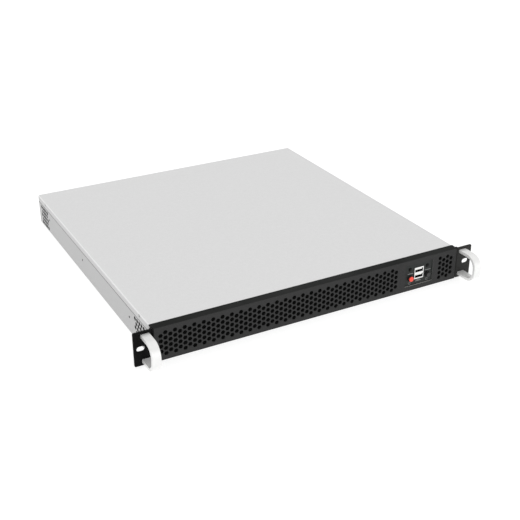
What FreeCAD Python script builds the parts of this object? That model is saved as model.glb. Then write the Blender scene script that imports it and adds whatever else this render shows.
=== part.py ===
"""1U rack server, 19 inch, short depth, with perforated front and D handles.

Frame: +X to the right seen from the front, +Y to the rear, +Z up, millimetres. The origin is the
centre of the two rack slots, on the rear face of the ears, where they bear on the rack posts.
"""
import FreeCAD, Part
import math
import os

import Sketcher

Vector = FreeCAD.Vector
Rotation = FreeCAD.Rotation

# Driving dimensions. Places are measured in the part's own frame.
SIZES = {
    # Rack interface
    "rack_width": 482.6,
    "panel_height": 44.0,
    "slot_inset": 8.75,
    "slot_length": 10.5,
    "slot_width": 6.8,
    "ear_reach": 23.8,
    "ear_sheet": 2.0,
    "ear_bend": 1.9,
    "ear_corner": 1.5,
    "ear_leg_depth": 15.0,
    "ear_stub_depth": 2.6,
    # Chassis sheet metal
    "tray_sheet": 1.2,
    "cover_sheet": 1.2,
    "bezel_sheet": 1.2,
    "seat_gap": 0.3,
    "tray_bend": 1.5,
    "cover_bend": 2.0,
    "lip_height": 9.3,
    "side_front": 3.0,
    "joggle_front": 15.5,
    "tongue_length": 8.0,
    "tongue_inset": 4.0,
    # Front bezel
    "bezel_proud": 1.1,
    "bezel_bend": 0.9,
    "roof_reach": 9.2,
    "bezel_flange": 14.0,
    # Perforation
    "vent_pitch": 7.0,
    "vent_across": 5.1,
    "left_field_margin": 7.6,
    "right_field_margin": 8.6,
    "field_window_gap": 12.0,
    "side_vent_front": 39.4,
    "side_vent_rear_inset": 27.5,
    "side_vent_drop": 4.5,
    # Dust filter behind the perforation
    "filter_thick": 3.0,
    "filter_top_gap": 2.4,
    # Handles
    "handle_inset": 14.7,
    "handle_width": 11.0,
    "handle_bar": 4.5,
    "handle_reach": 33.5,
    "handle_margin": 3.45,
    "handle_bend": 16.0,
    "handle_edge": 0.5,
    # Screws
    "thread_gap": 0.05,
    "small_screw": 1.5,
    "small_head": 2.8,
    "small_head_height": 1.6,
    "flat_head_depth": 1.1,
    "ear_screw": 2.0,
    "ear_screw_head": 3.6,
    "ear_screw_place": 8.5,
    "ear_screw_high": 5.0,
    "ear_screw_low": -12.0,
    "ear_screw_length": 5.6,
    "cover_screw_front": 38.0,
    "cover_screw_rear_inset": 35.0,
    "cover_screw_drop": 3.7,
    "cover_screw_length": 5.0,
    "handle_screw_length": 9.0,
    # Slide rail holes in the tray sides
    "rail_hole": 1.6,
    "rail_front": 72.9,
    "rail_middle": 247.6,
    "rail_rear_inset": 50.6,
    # Control panel
    "control_inset": 60.0,
    "control_z": 0.1,
    "control_width": 44.0,
    "control_height": 30.6,
    "control_margin": 2.0,
    "control_sheet": 1.2,
    "control_shelf": 36.0,
    "control_side": 13.8,
    "button_z": -4.2,
    "button_radius": 3.0,
    "button_hole": 4.0,
    "button_proud": 4.5,
    "button_chamfer": 0.4,
    "button_flange": 4.8,
    "button_flange_thick": 1.0,
    "button_stem": 1.7,
    "button_travel": 1.0,
    "switch_front": 7.0,
    "switch_size": 6.0,
    "switch_depth": 3.5,
    "switch_bore_depth": 2.0,
    "stem_entry": 0.5,
    "running_gap": 0.08,
    "led_z": 8.0,
    "led_radius": 2.5,
    "led_proud": 1.9,
    "led_length": 8.6,
    "led_nose": 1.5,
    "led_tip": 1.0,
    "led_facet": 0.5,
    "led_shoulder": 1.9,
    "led_clip": 7.2,
    "led_clip_depth": 4.6,
    "lead_size": 0.6,
    "lead_spacing": 2.54,
    "lead_bend": 12.3,
    "usb_width": 14.4,
    "usb_height": 16.4,
    "usb_depth": 17.5,
    "usb_proud": 1.0,
    "usb_pitch": 8.0,
    "usb_mouth_width": 12.5,
    "usb_mouth_height": 5.2,
    "usb_mouth_depth": 13.0,
    "usb_tongue_width": 11.1,
    "usb_tongue_thick": 1.84,
    "usb_tongue_rise": 0.3,
    "usb_tongue_inset": 1.2,
    "board_sheet": 1.6,
    "control_board_width": 40.0,
    "control_board_depth": 31.0,
    "control_header_width": 12.0,
    "control_header_depth": 6.0,
    "control_header_height": 8.0,
    "control_screw_x": 16.0,
    "control_screw_front": 15.6,
    "control_screw_rear": 29.5,
    # Motherboard
    "mainboard_size": 244.0,
    "drive_board_gap": 32.4,
    "board_psu_gap": 12.0,
    "mainboard_rear_gap": 1.4,
    "standoff_height": 6.3,
    "standoff_radius": 3.0,
    "standoff_inset_x": 8.0,
    "standoff_middle": 40.0,
    "standoff_inset_front": 10.0,
    "standoff_inset_rear": 34.0,
    "socket_size": 46.0,
    "socket_height": 5.0,
    "cpu_offset": 19.0,
    "cpu_inset": 98.6,
    "sink_width": 92.0,
    "sink_depth": 90.0,
    "sink_base": 4.0,
    "sink_top_gap": 2.7,
    "sink_fin": 1.0,
    "sink_fin_pitch": 3.4,
    "sink_screw_x": 40.5,
    "sink_screw_y": 38.0,
    "sink_screw_head": 3.2,
    "memory_side_inset": 57.0,
    "memory_inset": 94.6,
    "memory_pitch": 10.0,
    "slot_body_length": 142.0,
    "slot_body_width": 6.5,
    "slot_body_height": 8.0,
    "slot_groove": 1.8,
    "slot_groove_depth": 4.6,
    "module_length": 133.0,
    "module_sheet": 1.2,
    "module_height": 18.8,
    "chipset_side_inset": 26.0,
    "chipset_inset": 48.6,
    "chipset_size": 34.0,
    "chipset_base": 3.0,
    "chipset_fin": 1.6,
    "chipset_height": 9.0,
    "header_inset": 3.0,
    "power_header_width": 52.0,
    "power_header_depth": 10.0,
    "power_header_height": 13.0,
    "drive_header_inset": 25.0,
    "drive_header_pitch": 10.0,
    "drive_header_width": 6.0,
    "drive_header_depth": 15.0,
    "drive_header_height": 9.0,
    # Rear ports
    "shield_sheet": 0.8,
    "shield_width": 159.0,
    "shield_inset": 79.5,
    "shield_drop": 3.0,
    "shield_lap": 1.6,
    "port_depth": 24.0,
    "port_proud": 0.6,
    "serial_offset": -57.0,
    "display_offset": 40.0,
    "dsub_width": 31.0,
    "dsub_height": 12.5,
    "dsub_shell_width": 17.0,
    "dsub_shell_height": 8.4,
    "dsub_shell_reach": 2.0,
    "network_offset": -22.0,
    "network_pitch": 26.0,
    "network_width": 17.4,
    "network_top_gap": 2.3,
    "jack_width": 11.8,
    "jack_height": 8.2,
    "jack_depth": 13.0,
    "jack_drop": 1.2,
    "rear_usb_low": 5.6,
    "slot_cover_gap": 4.9,
    "slot_cover_z": 4.0,
    "slot_cover_width": 79.2,
    "slot_cover_height": 18.4,
    "slot_cover_lap": 2.2,
    "slot_cover_sheet": 0.9,
    "slot_tab": 5.5,
    "slot_screw_inset": 2.9,
    "rear_vent_margin": 14.3,
    "rear_vent_gap": 14.0,
    "rear_vent_pitch": 8.0,
    "rear_vent_width": 4.0,
    "rear_vent_height": 30.0,
    # Power supply
    "psu_width": 81.5,
    "psu_top_gap": 1.1,
    "psu_length": 150.0,
    "psu_side_gap": 3.8,
    "psu_wall": 0.8,
    "psu_fan_gap": 0.9,
    "psu_fan_depth": 20.0,
    "psu_fan_inset": 21.3,
    "psu_inlet_inset": 59.0,
    "inlet_width": 27.0,
    "inlet_height": 19.8,
    "inlet_depth": 20.0,
    "inlet_flange_width": 31.0,
    "inlet_flange_height": 24.0,
    "inlet_flange_proud": 2.0,
    "inlet_cavity_width": 24.4,
    "inlet_cavity_height": 16.2,
    "inlet_cavity_depth": 16.0,
    "inlet_blade_width": 2.0,
    "inlet_blade_height": 4.0,
    "inlet_blade_length": 12.0,
    "inlet_blade_spacing": 7.0,
    "inlet_earth_rise": 4.0,
    "psu_screw_inner": 38.5,
    "psu_screw_outer": 78.0,
    "psu_screw_z": 15.5,
    "psu_slot_pitch": 8.0,
    "psu_slot_width": 4.0,
    "psu_slot_height": 28.0,
    "psu_board_inset": 6.0,
    "psu_board_rise": 3.0,
    "psu_foot": 4.0,
    "psu_foot_side": 4.0,
    "psu_foot_end": 7.0,
    "psu_fin_inset": 12.0,
    "psu_fin_sheet": 3.0,
    "psu_fin_front": 14.0,
    "psu_fin_rear": 19.0,
    "psu_part_height": 27.0,
    "transformer_width": 30.0,
    "transformer_depth": 34.0,
    "transformer_inset": 44.0,
    "capacitor_radius": 11.0,
    "capacitor_inset": 24.0,
    # Cooling fans
    "fan_top_gap": 1.3,
    "fan_depth": 28.0,
    "fan_pitch": 75.0,
    "fan_board_gap": 22.2,
    "fan_wall_gap": 1.9,
    "fan_wall_width": 230.0,
    "fan_flange": 12.0,
    "fan_duct_wall": 1.4,
    "fan_tip_gap": 0.6,
    "fan_hub": 11.0,
    "fan_shaft": 1.5,
    "fan_rotor_front": 3.0,
    "fan_rotor_rear_gap": 3.6,
    "fan_base_thick": 3.0,
    "fan_strut": 2.4,
    "fan_blade_sheet": 1.0,
    "fan_blade_margin": 1.0,
    "fan_screw_inset": 4.0,
    "fan_screw_length": 8.0,
    # Drives
    "drive_width": 101.6,
    "drive_length": 147.0,
    "drive_height": 26.1,
    "drive_side_gap": 5.8,
    "drive_front": 22.0,
    "bracket_sheet": 1.2,
    "bracket_height": 20.0,
    "drive_screw_front": 28.5,
    "drive_screw_rear": 130.1,
    "drive_screw_rise": 6.4,
    "ssd_width": 69.8,
    "ssd_length": 100.0,
    "ssd_height": 7.0,
    "ssd_side_gap": 25.0,
    "ssd_fan_gap": 12.0,
}

# Counts
RIGHT_FIELD_COLUMNS = 4
SHORT_COLUMN = 4
LONG_COLUMN = 5
SIDE_VENT_ROWS = 5
SIDE_VENT_LENGTH = 5
FAN_COUNT = 3
BLADE_COUNT = 7
BLADE_LEAN = 0.3
MEMORY_SLOTS = 4
MEMORY_MODULES = (0, 2)
CHIPSET_FINS = 6
DRIVE_HEADERS = 4
PSU_SLOTS = 8
SINK_FINS = 21

# How far a cutting tool runs past the faces that it goes through
PAST = 1

doc = FreeCAD.newDocument("rack_server")
nodes = []


class Size:
    """A length that knows its value and the spreadsheet expression behind it."""

    def __init__(self, value, text):
        self.value = value
        self.text = text

    def __add__(self, other):
        other = as_size(other)
        return Size(self.value + other.value, f"({self.text} + {other.text})")

    def __radd__(self, other):
        return as_size(other) + self

    def __sub__(self, other):
        other = as_size(other)
        return Size(self.value - other.value, f"({self.text} - {other.text})")

    def __rsub__(self, other):
        return as_size(other) - self

    def __mul__(self, factor):
        factor = as_size(factor)
        return Size(self.value * factor.value, f"({self.text} * {factor.text})")

    def __rmul__(self, factor):
        return self * factor

    def __truediv__(self, divisor):
        divisor = as_size(divisor)
        return Size(self.value / divisor.value, f"({self.text} / {divisor.text})")

    def __neg__(self):
        return self * -1


def as_size(number):
    """Return a Size as it is, and a plain number as a constant Size."""
    if isinstance(number, Size):
        return number
    return Size(float(number), f"{number:.9f}")


class Sheet:
    """The driving dimensions as attributes, kept in the document's spreadsheet."""

    def __init__(self, values):
        cells = doc.addObject("Spreadsheet::Sheet", "Dims")
        for row, (name, value) in enumerate(values.items(), 1):
            cells.set(f"A{row}", name)
            cells.set(f"B{row}", str(value))
            cells.setAlias(f"B{row}", name)
            setattr(self, name, Size(float(value), f"Dims.{name}"))
        doc.recompute()


d = Sheet(SIZES)

# Shell, outside in
outer = d.rack_width / 2
side = outer - d.ear_reach
top = d.panel_height / 2
bottom = -top
floor = bottom + d.tray_sheet
ceiling = top - d.cover_sheet
wall_inside = side - d.tray_sheet
bezel_edge = wall_inside - d.seat_gap
upper_outside = wall_inside - d.seat_gap
upper_inside = upper_outside - d.tray_sheet
lip_bottom = top - d.lip_height
wall_top = ceiling - d.seat_gap
joggle_top = lip_bottom - d.seat_gap
joggle_bottom = joggle_top - d.tray_sheet
bezel_front = -(d.ear_sheet + d.bezel_proud)
bezel_back = bezel_front + d.bezel_sheet
roof_under = top - d.bezel_sheet - d.seat_gap
handle_half = top - d.handle_margin
handle_x = outer - d.handle_inset
cover_screw_z = top - d.cover_screw_drop

# Depth, front to rear: the drive, the fans and the board settle how deep the chassis is
board_front = d.drive_front + d.drive_length + d.drive_board_gap
board_rear = board_front + d.mainboard_size
rear_inside = board_rear + d.mainboard_rear_gap
rear = rear_inside + d.tray_sheet
fan_back = board_front - d.fan_board_gap
fan_front = fan_back - d.fan_depth
fan_wall_front = fan_front - d.bracket_sheet
psu_rear = rear_inside - d.seat_gap
psu_front = psu_rear - d.psu_length
psu_inside_rear = psu_rear - d.psu_wall
rail_rear = rear - d.rail_rear_inset
cover_screw_rear = rear - d.cover_screw_rear_inset
side_vent_rear = rear - d.side_vent_rear_inset

# Width, from both walls inwards
psu_right = wall_inside - d.psu_side_gap
psu_left = psu_right - d.psu_width
psu_middle = (psu_left + psu_right) / 2
board_right = psu_left - d.board_psu_gap
board_left = board_right - d.mainboard_size
board_middle = (board_left + board_right) / 2
drive_seat = d.drive_width / 2 + d.seat_gap
drive_x = d.drive_side_gap + d.bracket_sheet + drive_seat - wall_inside
drive_right = drive_x + drive_seat + d.bracket_sheet
fan_wall_left = drive_right + d.fan_wall_gap
fan_wall_right = fan_wall_left + d.fan_wall_width
fan_middle = (fan_wall_left + fan_wall_right) / 2
psu_fan_x = psu_left + d.psu_fan_inset
inlet_x = psu_left + d.psu_inlet_inset
control_x = bezel_edge - d.control_inset
control_columns = (control_x - d.control_side, control_x + d.control_side)

# Height, over the tray's floor
board_bottom = floor + d.standoff_height
board_top = board_bottom + d.board_sheet
socket_top = board_top + d.socket_height
network_top = ceiling - d.network_top_gap
psu_top = ceiling - d.psu_top_gap
psu_z = (floor + psu_top) / 2
psu_fan_size = psu_top - floor - 2 * d.psu_wall - d.psu_fan_gap
fan_bottom = floor + d.seat_gap
fan_top = ceiling - d.fan_top_gap
fan_size = fan_top - fan_bottom

# Control panel
control_front = bezel_back + d.seat_gap
control_back = control_front + d.control_sheet
shelf_top = floor + d.control_sheet
control_board_top = d.button_z - d.switch_size / 2
control_board_bottom = control_board_top - d.board_sheet
usb_z = control_board_top + d.usb_height / 2
flange_front = control_back + d.seat_gap
flange_back = flange_front + d.button_flange_thick
control_board_front = flange_back + d.button_travel + d.seat_gap
window_x = (control_x - d.control_width / 2, control_x + d.control_width / 2)
window_z = (d.control_z - d.control_height / 2, d.control_z + d.control_height / 2)
bracket_x = (window_x[0] - d.control_margin, window_x[1] + d.control_margin)

# Rear wall
port_front = rear - d.port_depth
port_mouth = rear + d.port_proud
shield_right = board_right - d.shield_inset
shield_left = shield_right - d.shield_width
shield_middle = (shield_left + shield_right) / 2
shield_x = (shield_left, shield_right)
shield_z = (board_top - d.shield_drop, wall_top)
shield_window_x = (shield_left + d.shield_lap, shield_right - d.shield_lap)
shield_window_z = (shield_z[0] + d.shield_lap, shield_z[1] - d.shield_lap)
slot_cover_left = shield_right + d.slot_cover_gap
slot_cover_x = (slot_cover_left, slot_cover_left + d.slot_cover_width)
slot_cover_z = (d.slot_cover_z - d.slot_cover_height / 2, d.slot_cover_z + d.slot_cover_height / 2)
slot_window_x = (slot_cover_x[0] + d.slot_tab, slot_cover_x[1] - d.slot_tab)
slot_window_z = (slot_cover_z[0] + d.slot_cover_lap, slot_cover_z[1] - d.slot_cover_lap)
slot_screw_x = slot_cover_x[0] + d.slot_screw_inset
psu_duct = psu_fan_size / 2 - d.fan_duct_wall
inlet_half_x = d.inlet_flange_width / 2 + d.seat_gap
inlet_half_z = d.inlet_flange_height / 2 + d.seat_gap

# Spacing of the perforation's columns
column_pitch = d.vent_pitch * (math.sqrt(3) / 2)


# ---------------------------------------------------------------- general helpers

def bind(item, prop, size):
    """Tie a property to the spreadsheet."""
    item.setExpression(prop, as_size(size).text)


def place(item, x=0, y=0, z=0):
    """Tie an object's base point to the spreadsheet."""
    for letter, size in zip("xyz", (x, y, z)):
        bind(item, f"Placement.Base.{letter}", size)


def node(item, name):
    """Register a finished sub-part under the name of its file."""
    item.Label = name
    nodes.append(item)
    return item


def feature(kind, name):
    """Add an object whose label is free for a node."""
    return doc.addObject(kind, f"make_{name}")


def block(name, x, y, z):
    """Rectangular block between pairs of limits."""
    item = feature("Part::Box", name)
    for prop, (low, high) in zip(("Length", "Width", "Height"), (x, y, z)):
        bind(item, prop, as_size(high) - low)
    place(item, x[0], y[0], z[0])
    return item


TURNS = {
    "+Z": Rotation(),
    "-Z": Rotation(Vector(1, 0, 0), 180),
    "+Y": Rotation(Vector(1, 0, 0), -90),
    "-Y": Rotation(Vector(1, 0, 0), 90),
    "+X": Rotation(Vector(0, 1, 0), 90),
    "-X": Rotation(Vector(0, 1, 0), -90),
}


def turn(item, direction, base):
    """Point a primitive's own axis along a row axis and put its base there."""
    item.Placement = FreeCAD.Placement(Vector(), TURNS[direction])
    place(item, *base)
    return item


def rod(name, direction, base, radius, length):
    """Cylinder that starts at a base point and runs along a direction."""
    item = feature("Part::Cylinder", name)
    bind(item, "Radius", radius)
    bind(item, "Height", length)
    return turn(item, direction, base)


def cone(name, direction, base, radius, end_radius, length):
    """Cone frustum that starts at a base point and runs along a direction."""
    item = feature("Part::Cone", name)
    bind(item, "Radius1", radius)
    bind(item, "Radius2", end_radius)
    bind(item, "Height", length)
    return turn(item, direction, base)


def hexagon_rod(name, base, radius, length):
    """Upright hexagonal spacer."""
    item = feature("Part::Prism", name)
    item.Polygon = 6
    bind(item, "Circumradius", radius)
    bind(item, "Height", length)
    place(item, *base)
    return item


def joined(name, parts):
    """Fuse parts into one solid."""
    item = feature("Part::MultiFuse", name)
    item.Shapes = parts
    return item


def grouped(name, parts):
    """Keep parts as separate solids of one object."""
    item = feature("Part::Compound", name)
    item.Links = parts
    return item


def cut(name, base, tools):
    """Take tools away from a base."""
    item = feature("Part::Cut", name)
    item.Base = base
    item.Tool = tools[0] if len(tools) == 1 else grouped(f"{name}_tools", tools)
    return item


# ---------------------------------------------------------------- Part Design helpers

PLANES = {"XY": "XY_Plane", "XZ": "XZ_Plane", "YZ": "YZ_Plane"}


class Circle:
    """A round loop of a sketch."""

    def __init__(self, x, y, radius):
        self.x = as_size(x)
        self.y = as_size(y)
        self.radius = as_size(radius)


def origin_feature(body, role):
    """Find one of a body's own origin planes or axes."""
    return next(item for item in body.Origin.OriginFeatures if item.Role == role)


def rectangle(x, y):
    """Corner list of a rectangle between pairs of limits."""
    return [(x[0], y[0]), (x[1], y[0]), (x[1], y[1]), (x[0], y[1])]


def hold(sketch, geometry, point, x, y):
    """Fix a sketch point by two dimensions from the sketch's origin."""
    for kind, size in (("DistanceX", as_size(x)), ("DistanceY", as_size(y))):
        index = sketch.addConstraint(Sketcher.Constraint(kind, -1, 1, geometry, point, size.value))
        sketch.setExpression(f"Constraints[{index}]", size.text)


def draw(sketch, loop):
    """Draw a circle or a closed polygon with its dimensions."""
    first = sketch.GeometryCount
    if isinstance(loop, Circle):
        centre = Vector(loop.x.value, loop.y.value, 0)
        sketch.addGeometry(Part.Circle(centre, Vector(0, 0, 1), loop.radius.value), False)
        hold(sketch, first, 3, loop.x, loop.y)
        index = sketch.addConstraint(Sketcher.Constraint("Radius", first, loop.radius.value))
        sketch.setExpression(f"Constraints[{index}]", loop.radius.text)
        return
    corners = [Vector(as_size(x).value, as_size(y).value, 0) for x, y in loop]
    count = len(corners)
    for index in range(count):
        line = Part.LineSegment(corners[index], corners[(index + 1) % count])
        sketch.addGeometry(line, False)
    for index in range(count):
        following = first + (index + 1) % count
        sketch.addConstraint(Sketcher.Constraint("Coincident", first + index, 2, following, 1))
    for index, (x, y) in enumerate(loop):
        hold(sketch, first + index, 1, x, y)


def sketch_on(body, name, plane, offset, loops):
    """Sketch on one of the body's origin planes, moved along the plane's normal."""
    sketch = body.newObject("Sketcher::SketchObject", f"sketch_{name}")
    sketch.AttachmentSupport = (origin_feature(body, PLANES[plane]), [""])
    sketch.MapMode = "FlatFace"
    bind(sketch, "AttachmentOffset.Base.z", offset)
    for loop in loops:
        draw(sketch, loop)
    return sketch


def new_body(name):
    """Start a Part Design body."""
    return doc.addObject("PartDesign::Body", f"body_{name}")


def slab(body, name, plane, span, *loops):
    """Pad loops between two limits along the plane's axis."""
    low, high = as_size(span[0]), as_size(span[1])
    start = -high if plane == "XZ" else low
    pad = body.newObject("PartDesign::Pad", f"pad_{name}")
    pad.Profile = sketch_on(body, name, plane, start, loops)
    bind(pad, "Length", high - low)
    return pad


def turned(name, profile, x, z):
    """Body of revolution about a line along Y, from a profile of depths and radii."""
    body = new_body(name)
    sketch = sketch_on(body, name, "YZ", 0, [profile])
    spin = body.newObject("PartDesign::Revolution", f"spin_{name}")
    spin.Profile = sketch
    spin.ReferenceAxis = (sketch, ["H_Axis"])
    spin.Angle = 360
    place(body, x, 0, z)
    return body


def carve(body, name, plane, span, *loops):
    """Pocket loops between two limits along the plane's axis, and make sure that it cut."""
    low, high = as_size(span[0]), as_size(span[1])
    start = -low if plane == "XZ" else high
    doc.recompute()
    before = body.Shape.Volume
    pocket = body.newObject("PartDesign::Pocket", f"pocket_{name}")
    pocket.Profile = sketch_on(body, name, plane, start, loops)
    bind(pocket, "Length", high - low)
    doc.recompute()
    if not body.Shape.Volume < before:
        raise RuntimeError(f"pocket {name} cut nothing")
    return pocket


def edges_at(shape, along, **places):
    """Names of straight edges along an axis whose ends lie at given distances from the origin."""
    names = []
    for index, edge in enumerate(shape.Edges, 1):
        if edge.Curve.TypeId != "Part::GeomLine":
            continue
        start, end = edge.Vertexes[0].Point, edge.Vertexes[-1].Point
        run = end - start
        if abs(getattr(run, along)) < run.Length - 1e-6:
            continue
        if all(
            abs(abs(getattr(point, letter)) - size.value) < 1e-4
            for letter, size in places.items()
            for point in (start, end)
        ):
            names.append(f"Edge{index}")
    return names


def edge_height(shape, name):
    """Height of an edge's middle."""
    return shape.getElement(name).CenterOfMass.z


def sorted_span(first, second):
    """Put two limits in rising order."""
    return (first, second) if first.value < second.value else (second, first)


def round_edges(body, name, radius, names):
    """Fillet named edges of the body's tip."""
    base = body.Tip
    fillet = body.newObject("PartDesign::Fillet", f"fillet_{name}")
    fillet.Base = (base, names)
    bind(fillet, "Radius", radius)
    return fillet


# ---------------------------------------------------------------- perforation

def hexagon_face(centre, across, row, start):
    """Upright hexagon whose first corner stands at an angle from a row's direction."""
    radius = across / math.sqrt(3)
    corners = []
    for corner in range(7):
        angle = math.radians(60 * corner + start)
        corners.append(centre + row * (radius * math.cos(angle))
                       + Vector(0, 0, radius * math.sin(angle)))
    return Part.Face(Part.makePolygon(corners))


def steps_between(start, end, pitch):
    """Number of places a pitch apart from a start, as far as an end."""
    return int((as_size(end) - start).value / as_size(pitch).value) + 1


def front_punches():
    """Centres of the bezel's two fields: short and long columns in turn, a half pitch apart."""
    pitch = d.vent_pitch.value
    step = column_pitch.value
    left_start = (d.left_field_margin - bezel_edge).value
    left_columns = steps_between(left_start, window_x[0] - d.field_window_gap, column_pitch)
    right_end = (bezel_edge - d.right_field_margin).value
    right_start = right_end - step * (RIGHT_FIELD_COLUMNS - 1)
    fields = (
        (left_start, left_columns, (SHORT_COLUMN, LONG_COLUMN)),
        (right_start, RIGHT_FIELD_COLUMNS, (LONG_COLUMN, SHORT_COLUMN)),
    )
    centres = []
    for start, columns, heights in fields:
        for column in range(columns):
            height = heights[column % 2]
            for row in range(height):
                rise = (row - (height - 1) / 2) * pitch
                centres.append((start + column * step, rise))
    return centres


def side_punches(middle):
    """Centres of one side vent: rows a column pitch apart, long and short in turn."""
    centres = []
    for row in range(SIDE_VENT_ROWS):
        length = SIDE_VENT_LENGTH - row % 2
        rise = (row - (SIDE_VENT_ROWS - 1) / 2) * column_pitch.value - d.side_vent_drop.value
        for hole in range(length):
            along = (hole - (length - 1) / 2) * d.vent_pitch.value
            centres.append((middle.value + along, rise))
    return centres


def punch_tool(name, prisms):
    """Put punches that the patterns make into one tool object."""
    tool = feature("Part::Feature", name)
    tool.Shape = Part.Compound(prisms)
    return tool


# ---------------------------------------------------------------- chassis

def build_tray():
    """Folded tray: floor, joggled side walls and rear wall with its windows."""
    body = new_body("tray")
    slab(body, "tray_walls", "XZ", (d.side_front, rear), [
        (-side, joggle_top), (-side, bottom), (side, bottom), (side, joggle_top),
        (wall_inside, joggle_top), (wall_inside, floor),
        (-wall_inside, floor), (-wall_inside, joggle_top),
    ])
    slab(body, "tray_front_floor", "XY", (bottom, floor), rectangle(
        (-bezel_edge, bezel_edge), (bezel_back + d.seat_gap, d.side_front)))
    for name, sign in (("left", -1), ("right", 1)):
        slab(body, f"tray_joggle_{name}", "XZ", (d.joggle_front, rear), [
            (sign * wall_inside, joggle_bottom), (sign * upper_inside, joggle_bottom),
            (sign * upper_inside, wall_top), (sign * upper_outside, wall_top),
            (sign * upper_outside, joggle_top), (sign * wall_inside, joggle_top),
        ])
    slab(body, "tray_rear", "XZ", (rear_inside, rear), [
        (-wall_inside, floor), (wall_inside, floor), (wall_inside, joggle_bottom),
        (upper_inside, joggle_bottom), (upper_inside, wall_top), (-upper_inside, wall_top),
        (-upper_inside, joggle_bottom), (-wall_inside, joggle_bottom),
    ])
    doc.recompute()
    round_edges(body, "tray_bends", d.tray_bend, edges_at(body.Shape, "y", x=side, z=top))
    through = (rear_inside - PAST, rear + PAST)
    tools = [
        block("window_ports", shield_window_x, through, shield_window_z),
        block("window_slot", slot_window_x, through, slot_window_z),
        block("window_inlet", (inlet_x - inlet_half_x, inlet_x + inlet_half_x), through,
              (psu_z - inlet_half_z, psu_z + inlet_half_z)),
        rod("window_fan", "-Y", (psu_fan_x, rear + PAST, psu_z),
            psu_duct, d.tray_sheet + 2 * PAST),
    ]
    vent_start = d.rear_vent_margin - wall_inside
    vent_end = shield_left - d.rear_vent_gap - d.rear_vent_width
    for index in range(steps_between(vent_start, vent_end, d.rear_vent_pitch)):
        low = vent_start + d.rear_vent_pitch * index
        tools.append(block(f"rear_vent_{index}", (low, low + d.rear_vent_width),
                           through, (-d.rear_vent_height / 2, d.rear_vent_height / 2)))
    for index, (x, z) in enumerate(psu_screw_places()):
        tools.append(rod(f"psu_screw_hole_{index}", "-Y", (x, rear + PAST, z),
                         d.small_screw + d.thread_gap, d.tray_sheet + 2 * PAST))
    tools.append(rod("slot_screw_hole", "-Y", (slot_screw_x, rear + PAST, d.slot_cover_z),
                     d.small_screw + d.thread_gap, d.tray_sheet + 2 * PAST))
    for sign in (-1, 1):
        direction = "+X" if sign < 0 else "-X"
        start = sign * (side + PAST)
        reach = d.tray_sheet + 2 * PAST
        for place_y in (d.rail_front, d.rail_middle, rail_rear):
            tools.append(rod("rail_hole", direction, (start, place_y, 0), d.rail_hole, reach))
        for place_z in (d.ear_screw_low, d.ear_screw_high):
            tools.append(rod("ear_screw_hole", direction, (start, d.ear_screw_place, place_z),
                             d.ear_screw + d.thread_gap, reach))
        for place_y in (d.cover_screw_front, cover_screw_rear):
            tools.append(rod("cover_screw_hole", direction,
                             (start, place_y, cover_screw_z),
                             d.small_screw + d.thread_gap, reach + d.tray_sheet))
    prisms = []
    for middle in (d.side_vent_front, side_vent_rear):
        for along, rise in side_punches(middle):
            for sign in (-1, 1):
                start = sign * (side.value + PAST)
                face = hexagon_face(Vector(start, along, rise), d.vent_across.value,
                                    Vector(0, 1, 0), 30)
                prisms.append(face.extrude(Vector(-sign * (d.tray_sheet.value + 2 * PAST), 0, 0)))
    tools.append(punch_tool("side_vents", prisms))
    node(cut("tray", body, tools), "base_tray")


def build_cover():
    """Top cover: plate, bent side lips and the joggled tongue under the bezel's roof."""
    start = d.roof_reach + d.seat_gap
    body = new_body("cover")
    slab(body, "cover_hat", "XZ", (start, rear), [
        (-side, lip_bottom), (-wall_inside, lip_bottom), (-wall_inside, ceiling),
        (wall_inside, ceiling), (wall_inside, lip_bottom), (side, lip_bottom),
        (side, top), (-side, top),
    ])
    doc.recompute()
    round_edges(body, "cover_bends", d.cover_bend, edges_at(body.Shape, "y", x=side, z=top))
    for name, sign in (("left", -1), ("right", 1)):
        slab(body, f"lip_front_{name}", "XZ", (d.side_front, start), rectangle(
            (sign * wall_inside, sign * side), (lip_bottom, roof_under)))
    tongue = upper_inside - d.tongue_inset
    slab(body, "cover_joggle", "XZ", (start, start + d.cover_sheet), rectangle(
        (-tongue, tongue), (roof_under - d.cover_sheet, ceiling)))
    slab(body, "cover_tongue", "XZ", (start - d.tongue_length, start), rectangle(
        (-tongue, tongue), (roof_under - d.cover_sheet, roof_under)))
    seats = [small_flat_screw(f"{name}_seat", direction, (x, y, cover_screw_z),
                              d.cover_screw_length, d.thread_gap)
             for name, direction, x, y in cover_screw_places()]
    node(cut("cover", body, seats), "top_cover")


def flat_screw(name, direction, base, radius, head, length, gap=0):
    """Countersunk screw from its head's face inwards, or its seat when given a gap."""
    sign = -1 if direction.startswith("-") else 1
    axis = "XYZ".index(direction[1])
    neck = list(base)
    neck[axis] = as_size(neck[axis]) + sign * d.flat_head_depth
    return joined(name, [
        cone(f"{name}_head", direction, base, head + gap, radius + gap, d.flat_head_depth),
        rod(f"{name}_shank", direction, tuple(neck), radius + gap, length - d.flat_head_depth),
    ])


def small_flat_screw(name, direction, base, length, gap=0):
    """Countersunk M3 screw or its seat."""
    return flat_screw(name, direction, base, d.small_screw, d.small_head, length, gap)


def ear_flat_screw(name, direction, base, gap=0):
    """Countersunk M4 screw of an ear or its seat."""
    return flat_screw(name, direction, base, d.ear_screw, d.ear_screw_head,
                      d.ear_screw_length, gap)


def pan_head(name, direction, seat, radius, head, head_height, length):
    """Pan head screw whose head sits on a seat point and whose shank runs along a direction."""
    back = {"+": "-", "-": "+"}[direction[0]] + direction[1]
    return joined(name, [
        rod(f"{name}_head", back, seat, head, head_height),
        rod(f"{name}_shank", direction, seat, radius, length),
    ])


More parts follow.
